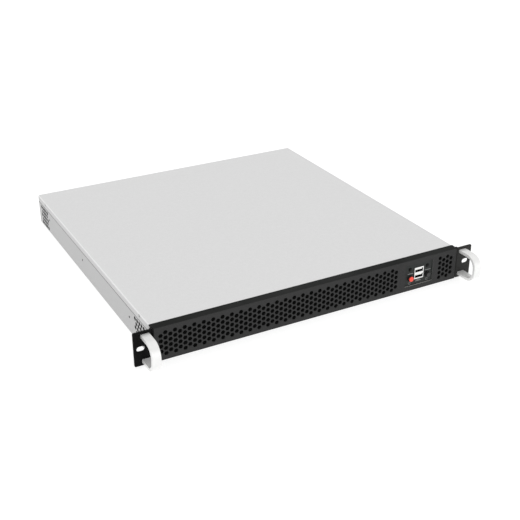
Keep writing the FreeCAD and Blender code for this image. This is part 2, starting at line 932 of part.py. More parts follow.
def cover_screw_places():
    """Side, direction and place of each cover screw."""
    places = []
    for name, sign in (("left", -1), ("right", 1)):
        direction = "+X" if sign < 0 else "-X"
        for where, y in (("front", d.cover_screw_front), ("rear", cover_screw_rear)):
            places.append((f"cover_{name}_{where}", direction, sign * side, y))
    return places


def build_cover_screws():
    """Countersunk screws that hold the cover's lips to the tray."""
    screws = [small_flat_screw(f"{name}_screw", direction, (x, y, cover_screw_z),
                               d.cover_screw_length)
              for name, direction, x, y in cover_screw_places()]
    node(grouped("cover_screws", screws), "cover_screws")


def build_bezel():
    """Folded front: perforated face, roof flange, side flanges and the control window."""
    body = new_body("bezel")
    slab(body, "bezel_face", "XZ", (bezel_front, bezel_back), rectangle(
        (-bezel_edge, bezel_edge), (bottom, top)), rectangle(window_x, window_z))
    slab(body, "bezel_roof_front", "XY", (top - d.bezel_sheet, top), rectangle(
        (-bezel_edge, bezel_edge), (bezel_back, d.side_front)))
    slab(body, "bezel_roof", "XY", (top - d.bezel_sheet, top), rectangle(
        (-side, side), (d.side_front, d.roof_reach)))
    flange_bottom = floor + d.seat_gap
    for name, sign in (("left", -1), ("right", 1)):
        slab(body, f"bezel_flange_{name}", "YZ",
             sorted_span(sign * bezel_edge, sign * (bezel_edge - d.bezel_sheet)), [
                 (bezel_back, flange_bottom), (d.bezel_flange, flange_bottom),
                 (d.bezel_flange, joggle_bottom), (d.roof_reach, ceiling),
                 (bezel_back, ceiling)])
    doc.recompute()
    upper = [name for name in edges_at(body.Shape, "x", y=-bezel_front, z=top)
             if edge_height(body.Shape, name) > 0]
    round_edges(body, "bezel_bend", d.bezel_bend, upper)
    reach = d.bezel_sheet.value + 2 * PAST
    start = bezel_front.value - PAST
    prisms = [
        hexagon_face(Vector(x, start, z), d.vent_across.value, Vector(1, 0, 0), 0)
        .extrude(Vector(0, reach, 0))
        for x, z in front_punches()
    ]
    tools = [punch_tool("front_vents", prisms)]
    for sign in (-1, 1):
        direction = "+X" if sign < 0 else "-X"
        for place_z in (d.ear_screw_low, d.ear_screw_high):
            tools.append(rod("flange_hole", direction,
                             (sign * (bezel_edge + PAST), d.ear_screw_place, place_z),
                             d.ear_screw + d.thread_gap, d.bezel_sheet + 2 * PAST))
    node(cut("bezel", body, tools), "front_bezel")


def build_filters():
    """Filter mats that stand on the tray behind the perforation, one each side of the controls."""
    edge = bezel_edge - d.bezel_sheet - d.seat_gap
    depth = (bezel_back, bezel_back + d.filter_thick)
    height = (floor, ceiling - d.filter_top_gap)
    pads = [
        block("filter_left", (-edge, bracket_x[0] - d.seat_gap), depth, height),
        block("filter_right", (bracket_x[1] + d.seat_gap, edge), depth, height),
    ]
    node(grouped("dust_filters", pads), "dust_filters")


def build_ear(name, sign):
    """Rack ear: folded angle whose flange takes the rack screw and the handle."""
    body = new_body(f"ear_{name}")
    slot = outer - d.slot_inset
    half_slot = d.slot_length / 2 - d.slot_width / 2
    slab(body, f"ear_flange_{name}", "XZ", (-d.ear_sheet, 0), rectangle(
        (sign * side, sign * outer), (bottom, top)))
    slab(body, f"ear_stub_{name}", "XZ", (0, d.ear_stub_depth), rectangle(
        (sign * side, sign * (side + d.ear_sheet)), (bottom, top)))
    slab(body, f"ear_leg_{name}", "XZ", (d.ear_stub_depth, d.ear_leg_depth), rectangle(
        (sign * side, sign * (side + d.ear_sheet)), (floor + d.seat_gap, joggle_top)))
    doc.recompute()
    round_edges(body, f"ear_bend_{name}", d.ear_bend,
                edges_at(body.Shape, "z", x=side, y=d.ear_sheet))
    doc.recompute()
    round_edges(body, f"ear_corners_{name}", d.ear_corner,
                edges_at(body.Shape, "y", x=outer, z=top))
    span = (-d.ear_sheet - PAST, PAST)
    middle = sign * slot
    slot_box = block(f"slot_middle_{name}", (middle - half_slot, middle + half_slot), span,
                     (-d.slot_width / 2, d.slot_width / 2))
    ends = [rod(f"slot_end_{name}", "+Y", (middle + end * half_slot, span[0], 0),
                d.slot_width / 2, d.ear_sheet + 2 * PAST) for end in (-1, 1)]
    tools = [joined(f"slot_{name}", [slot_box] + ends)]
    for where, z in handle_screw_heights():
        tools.append(small_flat_screw(f"handle_seat_{name}_{where}", "-Y",
                                      (sign * handle_x, 0, z), d.handle_screw_length,
                                      d.thread_gap))
    direction = "+X" if sign < 0 else "-X"
    for where, z in (("low", d.ear_screw_low), ("high", d.ear_screw_high)):
        tools.append(ear_flat_screw(f"ear_seat_{name}_{where}", direction,
                                    (sign * (side + d.ear_sheet), d.ear_screw_place, z),
                                    d.thread_gap))
    node(cut(f"ear_{name}", body, tools), f"rack_ear_{name}")


def handle_screw_heights():
    """Heights of a handle's two legs."""
    leg = handle_half - d.handle_bar / 2
    return (("low", -leg), ("high", leg))


def build_handle(name, sign):
    """D handle: one bent flat bar with softened edges and two tapped legs."""
    seat = -d.ear_sheet
    front = seat - d.handle_reach
    inner_half = handle_half - d.handle_bar
    inner_front = front + d.handle_bar
    body = new_body(f"handle_{name}")
    slab(body, f"handle_bar_{name}", "YZ", (-d.handle_width / 2, d.handle_width / 2), [
        (seat, handle_half), (front, handle_half), (front, -handle_half), (seat, -handle_half),
        (seat, -inner_half), (inner_front, -inner_half), (inner_front, inner_half),
        (seat, inner_half),
    ])
    doc.recompute()
    round_edges(body, f"handle_outer_{name}", d.handle_bend,
                edges_at(body.Shape, "x", y=-front, z=handle_half))
    doc.recompute()
    round_edges(body, f"handle_inner_{name}", d.handle_bend - d.handle_bar,
                edges_at(body.Shape, "x", y=-inner_front, z=inner_half))
    doc.recompute()
    chamfer = body.newObject("PartDesign::Chamfer", f"chamfer_handle_{name}")
    chamfer.Base = (body.getObject(f"fillet_handle_inner_{name}"),
                    rim_edges(body.Shape, d.handle_width / 2, seat))
    bind(chamfer, "Size", d.handle_edge)
    place(body, sign * handle_x)
    holes = [
        rod(f"handle_thread_{name}_{where}", "-Y", (sign * handle_x, seat, z),
            d.small_screw + d.thread_gap, d.handle_screw_length - d.ear_sheet + PAST)
        for where, z in handle_screw_heights()
    ]
    node(cut(f"handle_{name}", body, holes), f"handle_{name}")


def rim_edges(shape, half_width, seat):
    """Edges of the bar's two flat sides, without those on its feet."""
    names = []
    for index, edge in enumerate(shape.Edges, 1):
        points = [vertex.Point for vertex in edge.Vertexes]
        on_side = all(abs(abs(point.x) - half_width.value) < 1e-4 for point in points)
        same_side = all(point.x * points[0].x > 0 for point in points)
        on_foot = all(abs(point.y - seat.value) < 1e-4 for point in points)
        if on_side and same_side and not on_foot:
            names.append(f"Edge{index}")
    return names


def build_front_screws():
    """Screws of the handles and of the ears."""
    handle_screws = []
    ear_screws = []
    for name, sign in (("left", -1), ("right", 1)):
        for where, z in handle_screw_heights():
            handle_screws.append(small_flat_screw(f"handle_screw_{name}_{where}", "-Y",
                                                  (sign * handle_x, 0, z),
                                                  d.handle_screw_length))
        direction = "+X" if sign < 0 else "-X"
        for where, z in (("low", d.ear_screw_low), ("high", d.ear_screw_high)):
            ear_screws.append(ear_flat_screw(f"ear_screw_{name}_{where}", direction,
                                             (sign * (side + d.ear_sheet), d.ear_screw_place, z)))
    node(grouped("handle_screws", handle_screws), "handle_screws")
    node(grouped("ear_screws", ear_screws), "ear_screws")


# ---------------------------------------------------------------- control panel

def build_control_bracket():
    """Angle behind the window: a pierced plate and a shelf that stands on the floor."""
    half_usb = d.usb_width / 2 + d.seat_gap
    loops = [
        rectangle(bracket_x, (floor, window_z[1] + d.control_margin)),
        rectangle((control_x - half_usb, control_x + half_usb),
                  (control_board_top - d.seat_gap, control_board_top + d.usb_height + d.seat_gap)),
    ]
    for x in control_columns:
        loops.append(Circle(x, d.button_z, d.button_hole))
        loops.append(Circle(x, d.led_z, d.led_radius + d.running_gap))
    body = new_body("control_bracket")
    slab(body, "control_plate", "XZ", (control_front, control_back), *loops)
    slab(body, "control_shelf", "XY", (floor, shelf_top), rectangle(
        bracket_x, (control_back, d.control_shelf)))
    node(body, "control_bracket")


def build_button(name, x):
    """Push button turned about its axis: cap, retaining flange and stem."""
    tip = control_front - d.button_proud
    chamfer = d.button_chamfer
    stem_end = d.switch_front + d.stem_entry
    node(turned(name, [
        (tip, 0), (tip, d.button_radius - chamfer), (tip + chamfer, d.button_radius),
        (flange_front, d.button_radius), (flange_front, d.button_flange),
        (flange_back, d.button_flange), (flange_back, d.button_stem),
        (stem_end, d.button_stem), (stem_end, 0),
    ], x, d.button_z), name)


def build_control_board():
    """Board on spacers over the shelf, with its header and the two switches."""
    half_board = d.control_board_width / 2
    half_header = d.control_header_width / 2
    half_depth = d.control_header_depth / 2
    body = new_body("control_board")
    places = [(control_x + step * d.control_screw_x, y)
              for step in (-1, 1) for y in (d.control_screw_front, d.control_screw_rear)]
    holes = [Circle(x, y, d.small_screw + d.thread_gap) for x, y in places]
    slab(body, "control_board", "XY", (control_board_bottom, control_board_top), rectangle(
        (control_x - half_board, control_x + half_board),
        (control_board_front, control_board_front + d.control_board_depth)), *holes)
    node(body, "control_board")
    node(block("control_header", (control_x - half_header, control_x + half_header),
               (d.control_screw_rear - half_depth, d.control_screw_rear + half_depth),
               (control_board_top, control_board_top + d.control_header_height)),
         "control_header")
    spacers = [hexagon_rod("control_spacer", (x, y, shelf_top), d.standoff_radius,
                           control_board_bottom - shelf_top) for x, y in places]
    screws = [pan_head("control_screw", "-Z", (x, y, control_board_top), d.small_screw,
                       d.small_head, d.small_head_height, d.board_sheet) for x, y in places]
    node(grouped("control_spacers", spacers), "control_spacers")
    node(grouped("control_screws", screws), "control_screws")
    for title, x in zip(("power_switch", "reset_switch"), control_columns):
        half = d.switch_size / 2
        switch = block(title, (x - half, x + half),
                       (d.switch_front, d.switch_front + d.switch_depth),
                       (control_board_top, control_board_top + d.switch_size))
        bore = rod(f"{title}_bore", "+Y", (x, d.switch_front, d.button_z),
                   d.button_stem + d.running_gap, d.switch_bore_depth)
        node(cut(title, switch, [bore]), title)


def build_leds():
    """Two domed lamps in their clips behind the plate, on leads down to the board."""
    clips = []
    leads = []
    nose = control_front - d.led_proud
    back = nose + d.led_length
    half_clip = d.led_clip / 2
    half_lead = d.lead_size / 2
    for title, x in zip(("power_led", "disk_led"), control_columns):
        node(turned(title, [
            (nose, 0), (nose, d.led_tip), (nose + d.led_facet, d.led_shoulder),
            (nose + d.led_nose, d.led_radius), (back, d.led_radius), (back, 0),
        ], x, d.led_z), title)
        clip = block(f"{title}_clip", (x - half_clip, x + half_clip),
                     (control_back, control_back + d.led_clip_depth),
                     (d.led_z - half_clip, d.led_z + half_clip))
        bore = rod(f"{title}_clip_bore", "+Y", (x, control_back, d.led_z),
                   d.led_radius + d.thread_gap, d.led_clip_depth)
        clips.append(cut(f"{title}_clip", clip, [bore]))
        for step in (-1, 1):
            middle = x + step * d.lead_spacing / 2
            across = (middle - half_lead, middle + half_lead)
            run = block(f"{title}_lead_run", across, (back, d.lead_bend + half_lead),
                        (d.led_z - half_lead, d.led_z + half_lead))
            drop = block(f"{title}_lead_drop", across,
                         (d.lead_bend - half_lead, d.lead_bend + half_lead),
                         (control_board_top, d.led_z + half_lead))
            leads.append(joined(f"{title}_lead", [run, drop]))
    node(grouped("led_clips", clips), "led_clips")
    node(grouped("led_leads", leads), "led_leads")


def build_usb():
    """Shell of the stacked double socket, and the tongues that its contacts lie on."""
    front = control_front - d.usb_proud
    half = d.usb_width / 2
    shell = block("usb_shell", (control_x - half, control_x + half),
                  (front, front + d.usb_depth),
                  (control_board_top, control_board_top + d.usb_height))
    mouths, tongues = usb_stack("usb", control_x, usb_z, front, 1)
    node(cut("usb_shell", shell, mouths), "usb_shell")
    return tongues


def usb_stack(name, x, z, mouth, inward):
    """Mouths and tongues of two sockets, one above the other, that open at a plane."""
    half_mouth = d.usb_mouth_width / 2
    half_tongue = d.usb_tongue_width / 2
    end = mouth + inward * d.usb_mouth_depth
    tip = mouth + inward * d.usb_tongue_inset
    mouths = []
    tongues = []
    for order, step in (("lower", -1), ("upper", 1)):
        middle = z + step * d.usb_pitch / 2
        low = middle + d.usb_tongue_rise
        mouths.append(block(f"{name}_mouth_{order}", (x - half_mouth, x + half_mouth),
                            sorted_span(mouth, end),
                            (middle - d.usb_mouth_height / 2, middle + d.usb_mouth_height / 2)))
        tongues.append(block(f"{name}_tongue_{order}", (x - half_tongue, x + half_tongue),
                             sorted_span(tip, end), (low, low + d.usb_tongue_thick)))
    return mouths, tongues


# ---------------------------------------------------------------- motherboard

def board_screw_places():
    """Six fixing points in two rows of three."""
    columns = (board_left + d.standoff_inset_x, board_middle + d.standoff_middle,
               board_right - d.standoff_inset_x)
    rows = (board_front + d.standoff_inset_front, board_rear - d.standoff_inset_rear)
    return [(x, y) for x in columns for y in rows]


def build_motherboard():
    """Board on its standoffs with the processor, memory and headers."""
    holes = [Circle(x, y, d.small_screw + d.thread_gap) for x, y in board_screw_places()]
    body = new_body("motherboard")
    slab(body, "motherboard", "XY", (board_bottom, board_top),
         rectangle((board_left, board_right), (board_front, board_rear)), *holes)
    node(body, "motherboard")
    standoffs = []
    screws = []
    for x, y in board_screw_places():
        standoffs.append(hexagon_rod("standoff", (x, y, floor), d.standoff_radius,
                                     d.standoff_height))
        screws.append(pan_head("board_screw", "-Z", (x, y, board_top), d.small_screw,
                               d.small_head, d.small_head_height, d.board_sheet))
    node(grouped("board_standoffs", standoffs), "board_standoffs")
    node(grouped("board_screws", screws), "board_screws")


def build_processor():
    """Socketed processor under a passive finned heatsink."""
    half = d.socket_size / 2
    x = board_middle - d.cpu_offset
    y = board_front + d.cpu_inset
    node(block("cpu_socket", (x - half, x + half), (y - half, y + half),
               (board_top, socket_top)), "cpu_socket")
    body = new_body("heatsink")
    half_width = d.sink_width / 2
    half_depth = d.sink_depth / 2
    first = -(SINK_FINS - 1) / 2 * d.sink_fin_pitch
    holes = [Circle(sx * d.sink_screw_x, sy * d.sink_screw_y, d.small_screw + d.thread_gap)
             for sx in (-1, 1) for sy in (-1, 1)]
    slab(body, "sink_base", "XY", (0, d.sink_base),
         rectangle((-half_width, half_width), (-half_depth, half_depth)), *holes)
    fin = slab(body, "sink_fin", "XY", (d.sink_base, ceiling - d.sink_top_gap - socket_top),
               rectangle((first - d.sink_fin / 2, first + d.sink_fin / 2),
                         (-half_depth, half_depth)))
    doc.recompute()
    fins = body.newObject("PartDesign::LinearPattern", "sink_fins")
    fins.Originals = [fin]
    fins.Direction = (origin_feature(body, "X_Axis"), [""])
    bind(fins, "Length", d.sink_fin_pitch * (SINK_FINS - 1))
    fins.Occurrences = SINK_FINS
    body.Tip = fins
    place(body, x, y, socket_top)
    node(body, "cpu_heatsink")
    screws = []
    for sx in (-1, 1):
        for sy in (-1, 1):
            seat = (x + sx * d.sink_screw_x, y + sy * d.sink_screw_y, socket_top + d.sink_base)
            screws.append(pan_head("sink_screw", "-Z", seat, d.small_screw, d.small_head,
                                   d.sink_screw_head, d.sink_base + d.socket_height))
    node(grouped("heatsink_screws", screws), "heatsink_screws")


def build_memory():
    """Memory slots with a groove each, and the modules in two of them."""
    slots = []
    modules = []
    slot_top = board_top + d.slot_body_height
    groove_bottom = slot_top - d.slot_groove_depth
    middle = board_front + d.memory_inset
    half_slot = d.slot_body_length / 2
    half_module = d.module_length / 2
    half_groove = half_module + d.seat_gap
    for index in range(MEMORY_SLOTS):
        x = board_right - d.memory_side_inset + d.memory_pitch * index
        body = block(f"memory_slot_{index}", (x - d.slot_body_width / 2, x + d.slot_body_width / 2),
                     (middle - half_slot, middle + half_slot), (board_top, slot_top))
        groove = block(f"memory_groove_{index}", (x - d.slot_groove / 2, x + d.slot_groove / 2),
                       (middle - half_groove, middle + half_groove), (groove_bottom, slot_top))
        slots.append(cut(f"memory_slot_{index}", body, [groove]))
        if index in MEMORY_MODULES:
            modules.append(block(f"memory_module_{index}",
                                 (x - d.module_sheet / 2, x + d.module_sheet / 2),
                                 (middle - half_module, middle + half_module),
                                 (groove_bottom, groove_bottom + d.module_height)))
    node(grouped("memory_slots", slots), "memory_slots")
    node(grouped("memory_modules", modules), "memory_modules")


def build_board_parts():
    """Chipset heatsink, power header and drive headers."""
    half = d.chipset_size / 2
    x = board_left + d.chipset_side_inset
    y = board_front + d.chipset_inset
    span = (y - half, y + half)
    base_top = board_top + d.chipset_base
    pitch = d.chipset_size / CHIPSET_FINS
    sink = [block("chipset_base", (x - half, x + half), span, (board_top, base_top))]
    for index in range(CHIPSET_FINS):
        fin = x - half + pitch / 2 + pitch * index
        sink.append(block(f"chipset_fin_{index}",
                          (fin - d.chipset_fin / 2, fin + d.chipset_fin / 2), span,
                          (base_top, board_top + d.chipset_height)))
    node(joined("chipset_heatsink", sink), "chipset_heatsink")
    edge = board_front + d.header_inset
    power = (board_middle + d.standoff_middle + board_right - d.standoff_inset_x) / 2
    half_power = d.power_header_width / 2
    headers = [block("power_header", (power - half_power, power + half_power),
                     (edge, edge + d.power_header_depth),
                     (board_top, board_top + d.power_header_height))]
    half_drive = d.drive_header_width / 2
    for index in range(DRIVE_HEADERS):
        x = board_left + d.drive_header_inset + d.drive_header_pitch * index
        headers.append(block(f"drive_header_{index}", (x - half_drive, x + half_drive),
                             (edge, edge + d.drive_header_depth),
                             (board_top, board_top + d.drive_header_height)))
    node(grouped("board_headers", headers), "board_headers")


# ---------------------------------------------------------------- rear ports

def build_socket(name, x, width, top_z, tools, extra=None):
    """Port block on the board's rear edge, with its mouths cut or its collar added."""
    half = width / 2
    shell = block(name, (x - half, x + half), (port_front, port_mouth), (board_top, top_z))
    solid = joined(f"{name}_shell", [shell, extra]) if extra else shell
    node(cut(name, solid, tools) if tools else solid, name)
    return rectangle((x - half - d.seat_gap, x + half + d.seat_gap),
                     (board_top - d.seat_gap, top_z + d.seat_gap))


def build_network_port(name, x):
    """Network jack over two sockets: its outline in the shield and its tongues."""
    half_jack = d.jack_width / 2
    jack_top = network_top - d.jack_drop
    jack = block(f"{name}_jack", (x - half_jack, x + half_jack),
                 (port_mouth - d.jack_depth, port_mouth), (jack_top - d.jack_height, jack_top))
    mouths, tongues = usb_stack(name, x, board_top + d.rear_usb_low + d.usb_pitch / 2,
                                port_mouth, -1)
    outline = build_socket(name, x, d.network_width, network_top, [jack] + mouths)
    return outline, tongues


def build_pin_port(name, x):
    """Block with a raised collar for a pin connector: its outline in the shield."""
    half_collar = d.dsub_shell_width / 2
    low = board_top + d.dsub_height / 2 - d.dsub_shell_height / 2
    collar = block(f"{name}_collar", (x - half_collar, x + half_collar),
                   (port_mouth, port_mouth + d.dsub_shell_reach),
                   (low, low + d.dsub_shell_height))
    return build_socket(name, x, d.dsub_width, board_top + d.dsub_height, [], collar)


def build_ports():
    """Port blocks on the board's rear edge, and the shield around them."""
    outlines = [build_pin_port("serial_port", shield_middle + d.serial_offset)]
    tongues = []
    first = shield_middle + d.network_offset
    for name, x in (("left", first), ("right", first + d.network_pitch)):
        outline, pair = build_network_port(f"network_port_{name}", x)
        outlines.append(outline)
        tongues += pair
    outlines.append(build_pin_port("display_port", shield_middle + d.display_offset))
    shield = new_body("port_shield")
    slab(shield, "port_shield", "XZ", (rear_inside - d.shield_sheet, rear_inside),
         rectangle(shield_x, shield_z), *outlines)
    node(shield, "port_shield")
    return tongues


def build_slot_cover():
    """Blank of the expansion slot with its screw."""
    body = new_body("slot_cover")
    slab(body, "slot_cover", "XZ", (rear_inside - d.slot_cover_sheet, rear_inside),
         rectangle(slot_cover_x, slot_cover_z),
         Circle(slot_screw_x, d.slot_cover_z, d.small_screw + d.thread_gap))
    node(body, "slot_cover")
    node(pan_head("slot_screw", "-Y", (slot_screw_x, rear, d.slot_cover_z), d.small_screw,
                  d.small_head, d.small_head_height, d.tray_sheet + d.slot_cover_sheet),
         "slot_screw")


# ---------------------------------------------------------------- power supply

def psu_screw_places():
    """Four screws between the rear wall and the supply."""
    return [(psu_left + inset, psu_z + step * d.psu_screw_z)
            for inset in (d.psu_screw_inner, d.psu_screw_outer) for step in (-1, 1)]


def build_psu():
    """Slim power supply's hollow case, with its slots, openings and screws."""
    wall = d.psu_wall
    body = new_body("psu")
    slab(body, "psu_case", "XY", (floor, psu_top), rectangle(
        (psu_left, psu_right), (psu_front, psu_rear)))
    carve(body, "psu_room", "XY", (floor + wall, psu_top - wall), rectangle(
        (psu_left + wall, psu_right - wall), (psu_front + wall, psu_inside_rear)))
    half_inlet = d.inlet_width / 2 + d.seat_gap
    half_rise = d.inlet_height / 2 + d.seat_gap
    carve(body, "psu_rear_openings", "XZ", (psu_inside_rear - PAST, psu_rear),
          Circle(psu_fan_x, psu_z, psu_duct),
          rectangle((inlet_x - half_inlet, inlet_x + half_inlet),
                    (psu_z - half_rise, psu_z + half_rise)))
    slot_height = (psu_z - d.psu_slot_height / 2, psu_z + d.psu_slot_height / 2)
    slots = []
    for index in range(PSU_SLOTS):
        x = psu_middle + d.psu_slot_pitch * (index - (PSU_SLOTS - 1) / 2)
        slots.append(rectangle((x - d.psu_slot_width / 2, x + d.psu_slot_width / 2), slot_height))
    carve(body, "psu_front_slots", "XZ", (psu_front, psu_front + wall + PAST), *slots)
    node(body, "psu_case")
    screws = [pan_head("psu_screw", "-Y", (x, rear, z), d.small_screw, d.small_head,
                       d.small_head_height, rear - psu_rear) for x, z in psu_screw_places()]
    node(grouped("psu_screws", screws), "psu_screws")


def build_psu_board():
    """The supply's board on its feet, with the heatsink fins, transformer and capacitor."""
    left = psu_left + d.psu_wall + d.seat_gap
    right = psu_right - d.psu_wall - d.seat_gap
    front = psu_front + d.psu_board_inset
    back = psu_inside_rear - d.psu_fan_depth - d.psu_board_inset
    base = floor + d.psu_wall
    under = base + d.psu_board_rise
    over = under + d.board_sheet
    height = (over, over + d.psu_part_height)
    parts = [block("psu_board", (left, right), (front, back), (under, over))]
    half_foot = d.psu_foot / 2
    for x in (left + d.psu_foot_side, right - d.psu_foot_side):
        for y in (front + d.psu_foot_end, back - d.psu_foot_end):
            parts.append(block("psu_foot", (x - half_foot, x + half_foot),
                               (y - half_foot, y + half_foot), (base, under)))
    fin_y = (front + d.psu_fin_front, back - d.psu_fin_rear)
    for fin_x in (psu_left + d.psu_fin_inset, psu_right - d.psu_fin_inset - d.psu_fin_sheet):
        parts.append(block("psu_fin", (fin_x, fin_x + d.psu_fin_sheet), fin_y, height))
    half_core = d.transformer_width / 2
    core_front = front + d.transformer_inset
    parts.append(block("psu_transformer", (psu_middle - half_core, psu_middle + half_core),
                       (core_front, core_front + d.transformer_depth), height))
    parts.append(rod("psu_capacitor", "+Z", (psu_middle, front + d.capacitor_inset, over),
                     d.capacitor_radius, d.psu_part_height))
    node(joined("psu_board", parts), "psu_board")


def inlet_block(name, width, height, depth):
    """Block centred on the inlet's axis."""
    return block(f"inlet_{name}", (inlet_x - width / 2, inlet_x + width / 2), depth,
                 (psu_z - height / 2, psu_z + height / 2))


def build_inlet():
    """Three-pin appliance inlet."""
    mouth = psu_rear + d.inlet_flange_proud
    start = mouth - d.inlet_cavity_depth
    barrel = inlet_block("barrel", d.inlet_width, d.inlet_height,
                         (psu_rear - d.inlet_depth, mouth))
    flange = inlet_block("flange", d.inlet_flange_width, d.inlet_flange_height,
                         (psu_rear, mouth))
    cavity = inlet_block("cavity", d.inlet_cavity_width, d.inlet_cavity_height, (start, mouth))
    node(cut("inlet", joined("inlet_body", [barrel, flange]), [cavity]), "psu_inlet")
    half_blade = d.inlet_blade_width / 2
    half_rise = d.inlet_blade_height / 2
    blades = []
    for index, (step, rise) in enumerate(((-1, -1), (0, 1), (1, -1))):
        middle = inlet_x + step * d.inlet_blade_spacing
        height = psu_z + rise * d.inlet_earth_rise / 2
        blades.append(block(f"inlet_blade_{index}", (middle - half_blade, middle + half_blade),
                            (start, start + d.inlet_blade_length),
                            (height - half_rise, height + half_rise)))
    node(grouped("inlet_blades", blades), "inlet_blades")


# ---------------------------------------------------------------- fans

def fan_frame(name, size, depth, x, front, z, screw_steps):
    """Square duct with a motor base on struts at its rear and a bearing bore."""
    half = size / 2
    duct = half - d.fan_duct_wall
    body = new_body(name)
    loops = [rectangle((-half, half), (-half, half)), Circle(0, 0, duct)]
    for sx, sz in screw_steps:
        inset = half - d.fan_screw_inset
        loops.append(Circle(sx * inset, sz * inset, d.small_screw + d.thread_gap))
    slab(body, f"{name}_duct", "XZ", (0, depth), *loops)
    base = (depth - d.fan_base_thick, depth)
    half_strut = d.fan_strut / 2
    slab(body, f"{name}_struts", "XZ", base, rectangle(
        (-duct - d.fan_duct_wall / 2, duct + d.fan_duct_wall / 2), (-half_strut, half_strut)))
    slab(body, f"{name}_cross_struts", "XZ", base, rectangle(
        (-half_strut, half_strut), (-duct - d.fan_duct_wall / 2, duct + d.fan_duct_wall / 2)))
    slab(body, f"{name}_base", "XZ", base, Circle(0, 0, d.fan_hub))
    carve(body, f"{name}_bore", "XZ", base, Circle(0, 0, d.fan_shaft + d.running_gap))
    place(body, x, front, z)
    return body


def fan_rotor(name, size, depth, x, front, z):
    """Hub with its shaft and its ring of blades."""
    duct = size / 2 - d.fan_duct_wall
    hub_front = d.fan_rotor_front
    hub_rear = depth - d.fan_rotor_rear_gap
    body = new_body(name)
    slab(body, f"{name}_hub", "XZ", (hub_front, hub_rear), Circle(0, 0, d.fan_hub))
    slab(body, f"{name}_shaft", "XZ", (hub_rear, depth - d.running_gap),
         Circle(0, 0, d.fan_shaft))
    low = hub_front + d.fan_blade_margin
    high = hub_rear - d.fan_blade_margin
    lean = (high - low) * BLADE_LEAN
    skin = d.fan_blade_sheet
    tip = duct - d.fan_tip_gap - d.fan_blade_margin
    blade = slab(body, f"{name}_blade", "YZ", (d.fan_hub - d.fan_blade_margin, tip), [
        (low, -lean), (low, -lean + skin), (high, lean), (high, lean - skin)])
    doc.recompute()
    ring = body.newObject("PartDesign::PolarPattern", f"{name}_blades")
    ring.Originals = [blade]
    ring.Axis = (origin_feature(body, "Y_Axis"), [""])
    ring.Angle = 360
    ring.Occurrences = BLADE_COUNT
    body.Tip = ring
    place(body, x, front, z)
    node(body, name)


def build_fans():
    """Fan wall across the chassis with its fans."""
    z = (fan_bottom + fan_top) / 2
    middles = [fan_middle + d.fan_pitch * (index - (FAN_COUNT - 1) / 2)
               for index in range(FAN_COUNT)]
    duct = fan_size / 2 - d.fan_duct_wall
    inset = fan_size / 2 - d.fan_screw_inset
    steps = ((-1, 1), (1, -1))
    loops = [rectangle((fan_wall_left, fan_wall_right), (floor, fan_top))]
    for middle in middles:
        loops.append(Circle(middle, z, duct))
        for sx, sz in steps:
            loops.append(Circle(middle + sx * inset, z + sz * inset,
                                d.small_screw + d.thread_gap))
    body = new_body("fan_wall")
    slab(body, "fan_wall", "XZ", (fan_wall_front, fan_front), *loops)
    slab(body, "fan_wall_foot", "XY", (floor, floor + d.bracket_sheet), rectangle(
        (fan_wall_left, fan_wall_right), (fan_wall_front - d.fan_flange, fan_wall_front)))
    node(body, "fan_bracket")
    frames = []
    screws = []
    for index, middle in enumerate(middles, 1):
        frames.append(fan_frame(f"fan_frame_{index}", fan_size, d.fan_depth, middle,
                                fan_front, z, steps))
        fan_rotor(f"fan_rotor_{index}", fan_size, d.fan_depth, middle, fan_front, z)
        for sx, sz in steps:
            screws.append(pan_head("fan_screw", "+Y",
                                   (middle + sx * inset, fan_wall_front, z + sz * inset),
                                   d.small_screw, d.small_head, d.small_head_height,
                                   d.fan_screw_length))
    node(grouped("fan_frames", frames), "fan_frames")
    node(grouped("fan_screws", screws), "fan_screws")
    psu_fan_front = psu_inside_rear - d.psu_fan_depth
    node(fan_frame("psu_fan_frame", psu_fan_size, d.psu_fan_depth, psu_fan_x,
                   psu_fan_front, psu_z, ()), "psu_fan_frame")
    fan_rotor("psu_fan_rotor", psu_fan_size, d.psu_fan_depth, psu_fan_x, psu_fan_front, psu_z)


# ---------------------------------------------------------------- drives

def build_drives():
    """Hard drive in its folded bracket, and a flat solid state drive on the floor."""
    half = d.drive_width / 2
    sheet = d.bracket_sheet
    outside = drive_seat + sheet
    body = new_body("drive_bracket")
    slab(body, "drive_bracket", "XZ", (d.drive_front, d.drive_front + d.drive_length), [
        (drive_x - outside, floor), (drive_x + outside, floor),
        (drive_x + outside, floor + d.bracket_height),
        (drive_x + drive_seat, floor + d.bracket_height), (drive_x + drive_seat, floor + sheet),
        (drive_x - drive_seat, floor + sheet), (drive_x - drive_seat, floor + d.bracket_height),
        (drive_x - outside, floor + d.bracket_height),
    ])
    places = [(sign, y) for sign in (-1, 1) for y in (d.drive_screw_front, d.drive_screw_rear)]
    height = floor + sheet + d.drive_screw_rise
    holes = []
    screws = []
    for sign, offset in places:
        direction = "+X" if sign < 0 else "-X"
        y = d.drive_front + offset
        holes.append(rod("drive_hole", direction,
                         (drive_x + sign * (outside + PAST), y, height),
                         d.small_screw + d.thread_gap, sheet + 2 * PAST))
        screws.append(pan_head("drive_screw", direction, (drive_x + sign * outside, y, height),
                               d.small_screw, d.small_head, d.small_head_height,
                               sheet + d.seat_gap))
    node(cut("drive_bracket", body, holes), "drive_bracket")
    node(grouped("drive_screws", screws), "drive_screws")
    seat = floor + sheet
    node(block("hard_drive", (drive_x - half, drive_x + half),
               (d.drive_front, d.drive_front + d.drive_length), (seat, seat + d.drive_height)),
         "hard_drive")
    left = drive_right + d.ssd_side_gap
    back = fan_wall_front - d.fan_flange - d.ssd_fan_gap
    node(block("solid_state_drive", (left, left + d.ssd_width), (back - d.ssd_length, back),
               (floor, floor + d.ssd_height)), "solid_state_drive")


# ---------------------------------------------------------------- build and write

